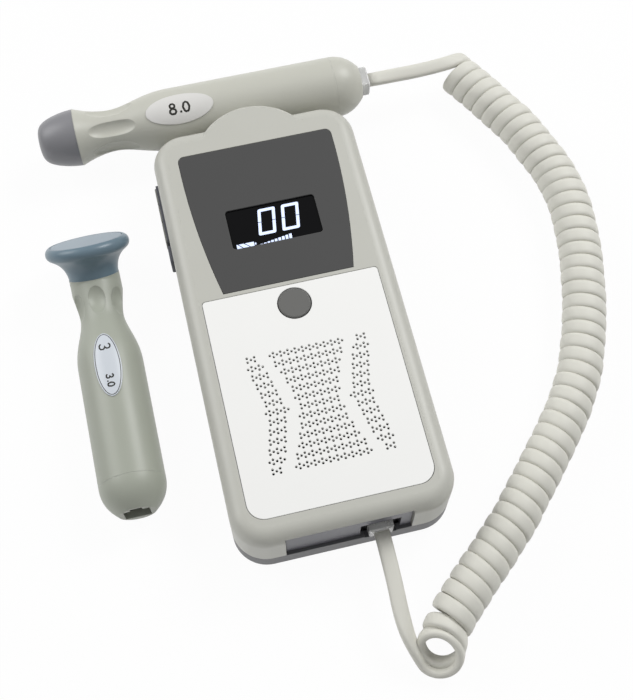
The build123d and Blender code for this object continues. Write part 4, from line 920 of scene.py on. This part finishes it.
def floor_material():
    """Matt white that the camera, mirrors and glass see as a white background."""
    material = bpy.data.materials.new("white sheet")
    material.use_nodes = True
    tree = material.node_tree
    shader = tree.nodes["Principled BSDF"]
    shader.inputs["Roughness"].default_value = 0.9
    shader.inputs["Specular IOR Level"].default_value = 0.0
    paper = mix_colour(tree, noise_node(tree, PAPER_SCALE, 3.0), PAPER_DARK, PAPER_LIGHT)
    tree.links.new(paper, shader.inputs["Base Color"])
    glow = tree.nodes.new("ShaderNodeEmission")
    glow.inputs["Strength"].default_value = 1.0
    path = tree.nodes.new("ShaderNodeLightPath")
    seen = math_node(tree, "MAXIMUM", path.outputs["Is Camera Ray"], path.outputs["Is Glossy Ray"])
    seen = math_node(tree, "MAXIMUM", seen, path.outputs["Is Transmission Ray"])
    share = math_node(tree, "MULTIPLY", seen, WHITE_SHARE)
    mixed = tree.nodes.new("ShaderNodeMixShader")
    tree.links.new(share, mixed.inputs[0])
    tree.links.new(shader.outputs[0], mixed.inputs[1])
    tree.links.new(glow.outputs[0], mixed.inputs[2])
    tree.links.new(mixed.outputs[0], tree.nodes["Material Output"].inputs["Surface"])
    return material


half = FLOOR_SIZE / 2
corners = [(-half, -half), (half, -half), (half, half), (-half, half)]
floor_mesh = bpy.data.meshes.new("floor")
floor_mesh.from_pydata([(x, y, FLOOR_LEVEL) for x, y in corners], [], [(0, 1, 2, 3)])
floor = bpy.data.objects.new("floor", floor_mesh)
bpy.context.scene.collection.objects.link(floor)
floor_mesh.materials.append(floor_material())
print("floor:", FLOOR_SIZE, "m square")

# %% [markdown]
# ## Lamps and sky
# Two large soft boxes stand to the upper right and the upper left, both a little behind
# the unit and away from the one direction that its flat top mirrors into the camera. A
# pale sky fills the shadows. The camera sees the sky as white.

# %% Lights
KEY_PLACE = (0.75, 0.4, 0.9)
KEY_SIZE = 0.5
KEY_POWER = 8.1
FILL_PLACE = (-0.8, 0.55, 0.75)
FILL_SIZE = 0.7
FILL_POWER = 6.3
SKY_STRENGTH = 0.32


def soft_light(name, place, size, power):
    """A square soft box that looks at the middle of the object."""
    light = bpy.data.lights.new(name, "AREA")
    light.size = size
    light.energy = power
    lamp = bpy.data.objects.new(name, light)
    lamp.location = place
    lamp.rotation_mode = "QUATERNION"
    lamp.rotation_quaternion = (CAMERA_AIM - Vector(place)).to_track_quat("-Z", "Y")
    bpy.context.scene.collection.objects.link(lamp)


soft_light("key light", KEY_PLACE, KEY_SIZE, KEY_POWER)
soft_light("fill light", FILL_PLACE, FILL_SIZE, FILL_POWER)
world = bpy.data.worlds.new("studio")
world.use_nodes = True
bpy.context.scene.world = world
sky = world.node_tree.nodes["Background"]
sky.inputs["Color"].default_value = WHITE
path = world.node_tree.nodes.new("ShaderNodeLightPath")
seen = math_node(world.node_tree, "MAXIMUM", path.outputs["Is Camera Ray"],
                 path.outputs["Is Transmission Ray"])
strength = math_node(world.node_tree, "MAXIMUM", seen, SKY_STRENGTH)
world.node_tree.links.new(strength, sky.inputs["Strength"])
bpy.context.scene.view_settings.view_transform = "Standard"
print("lamps:", [lamp.name for lamp in bpy.data.lights])

# %% Done
print("scene built")
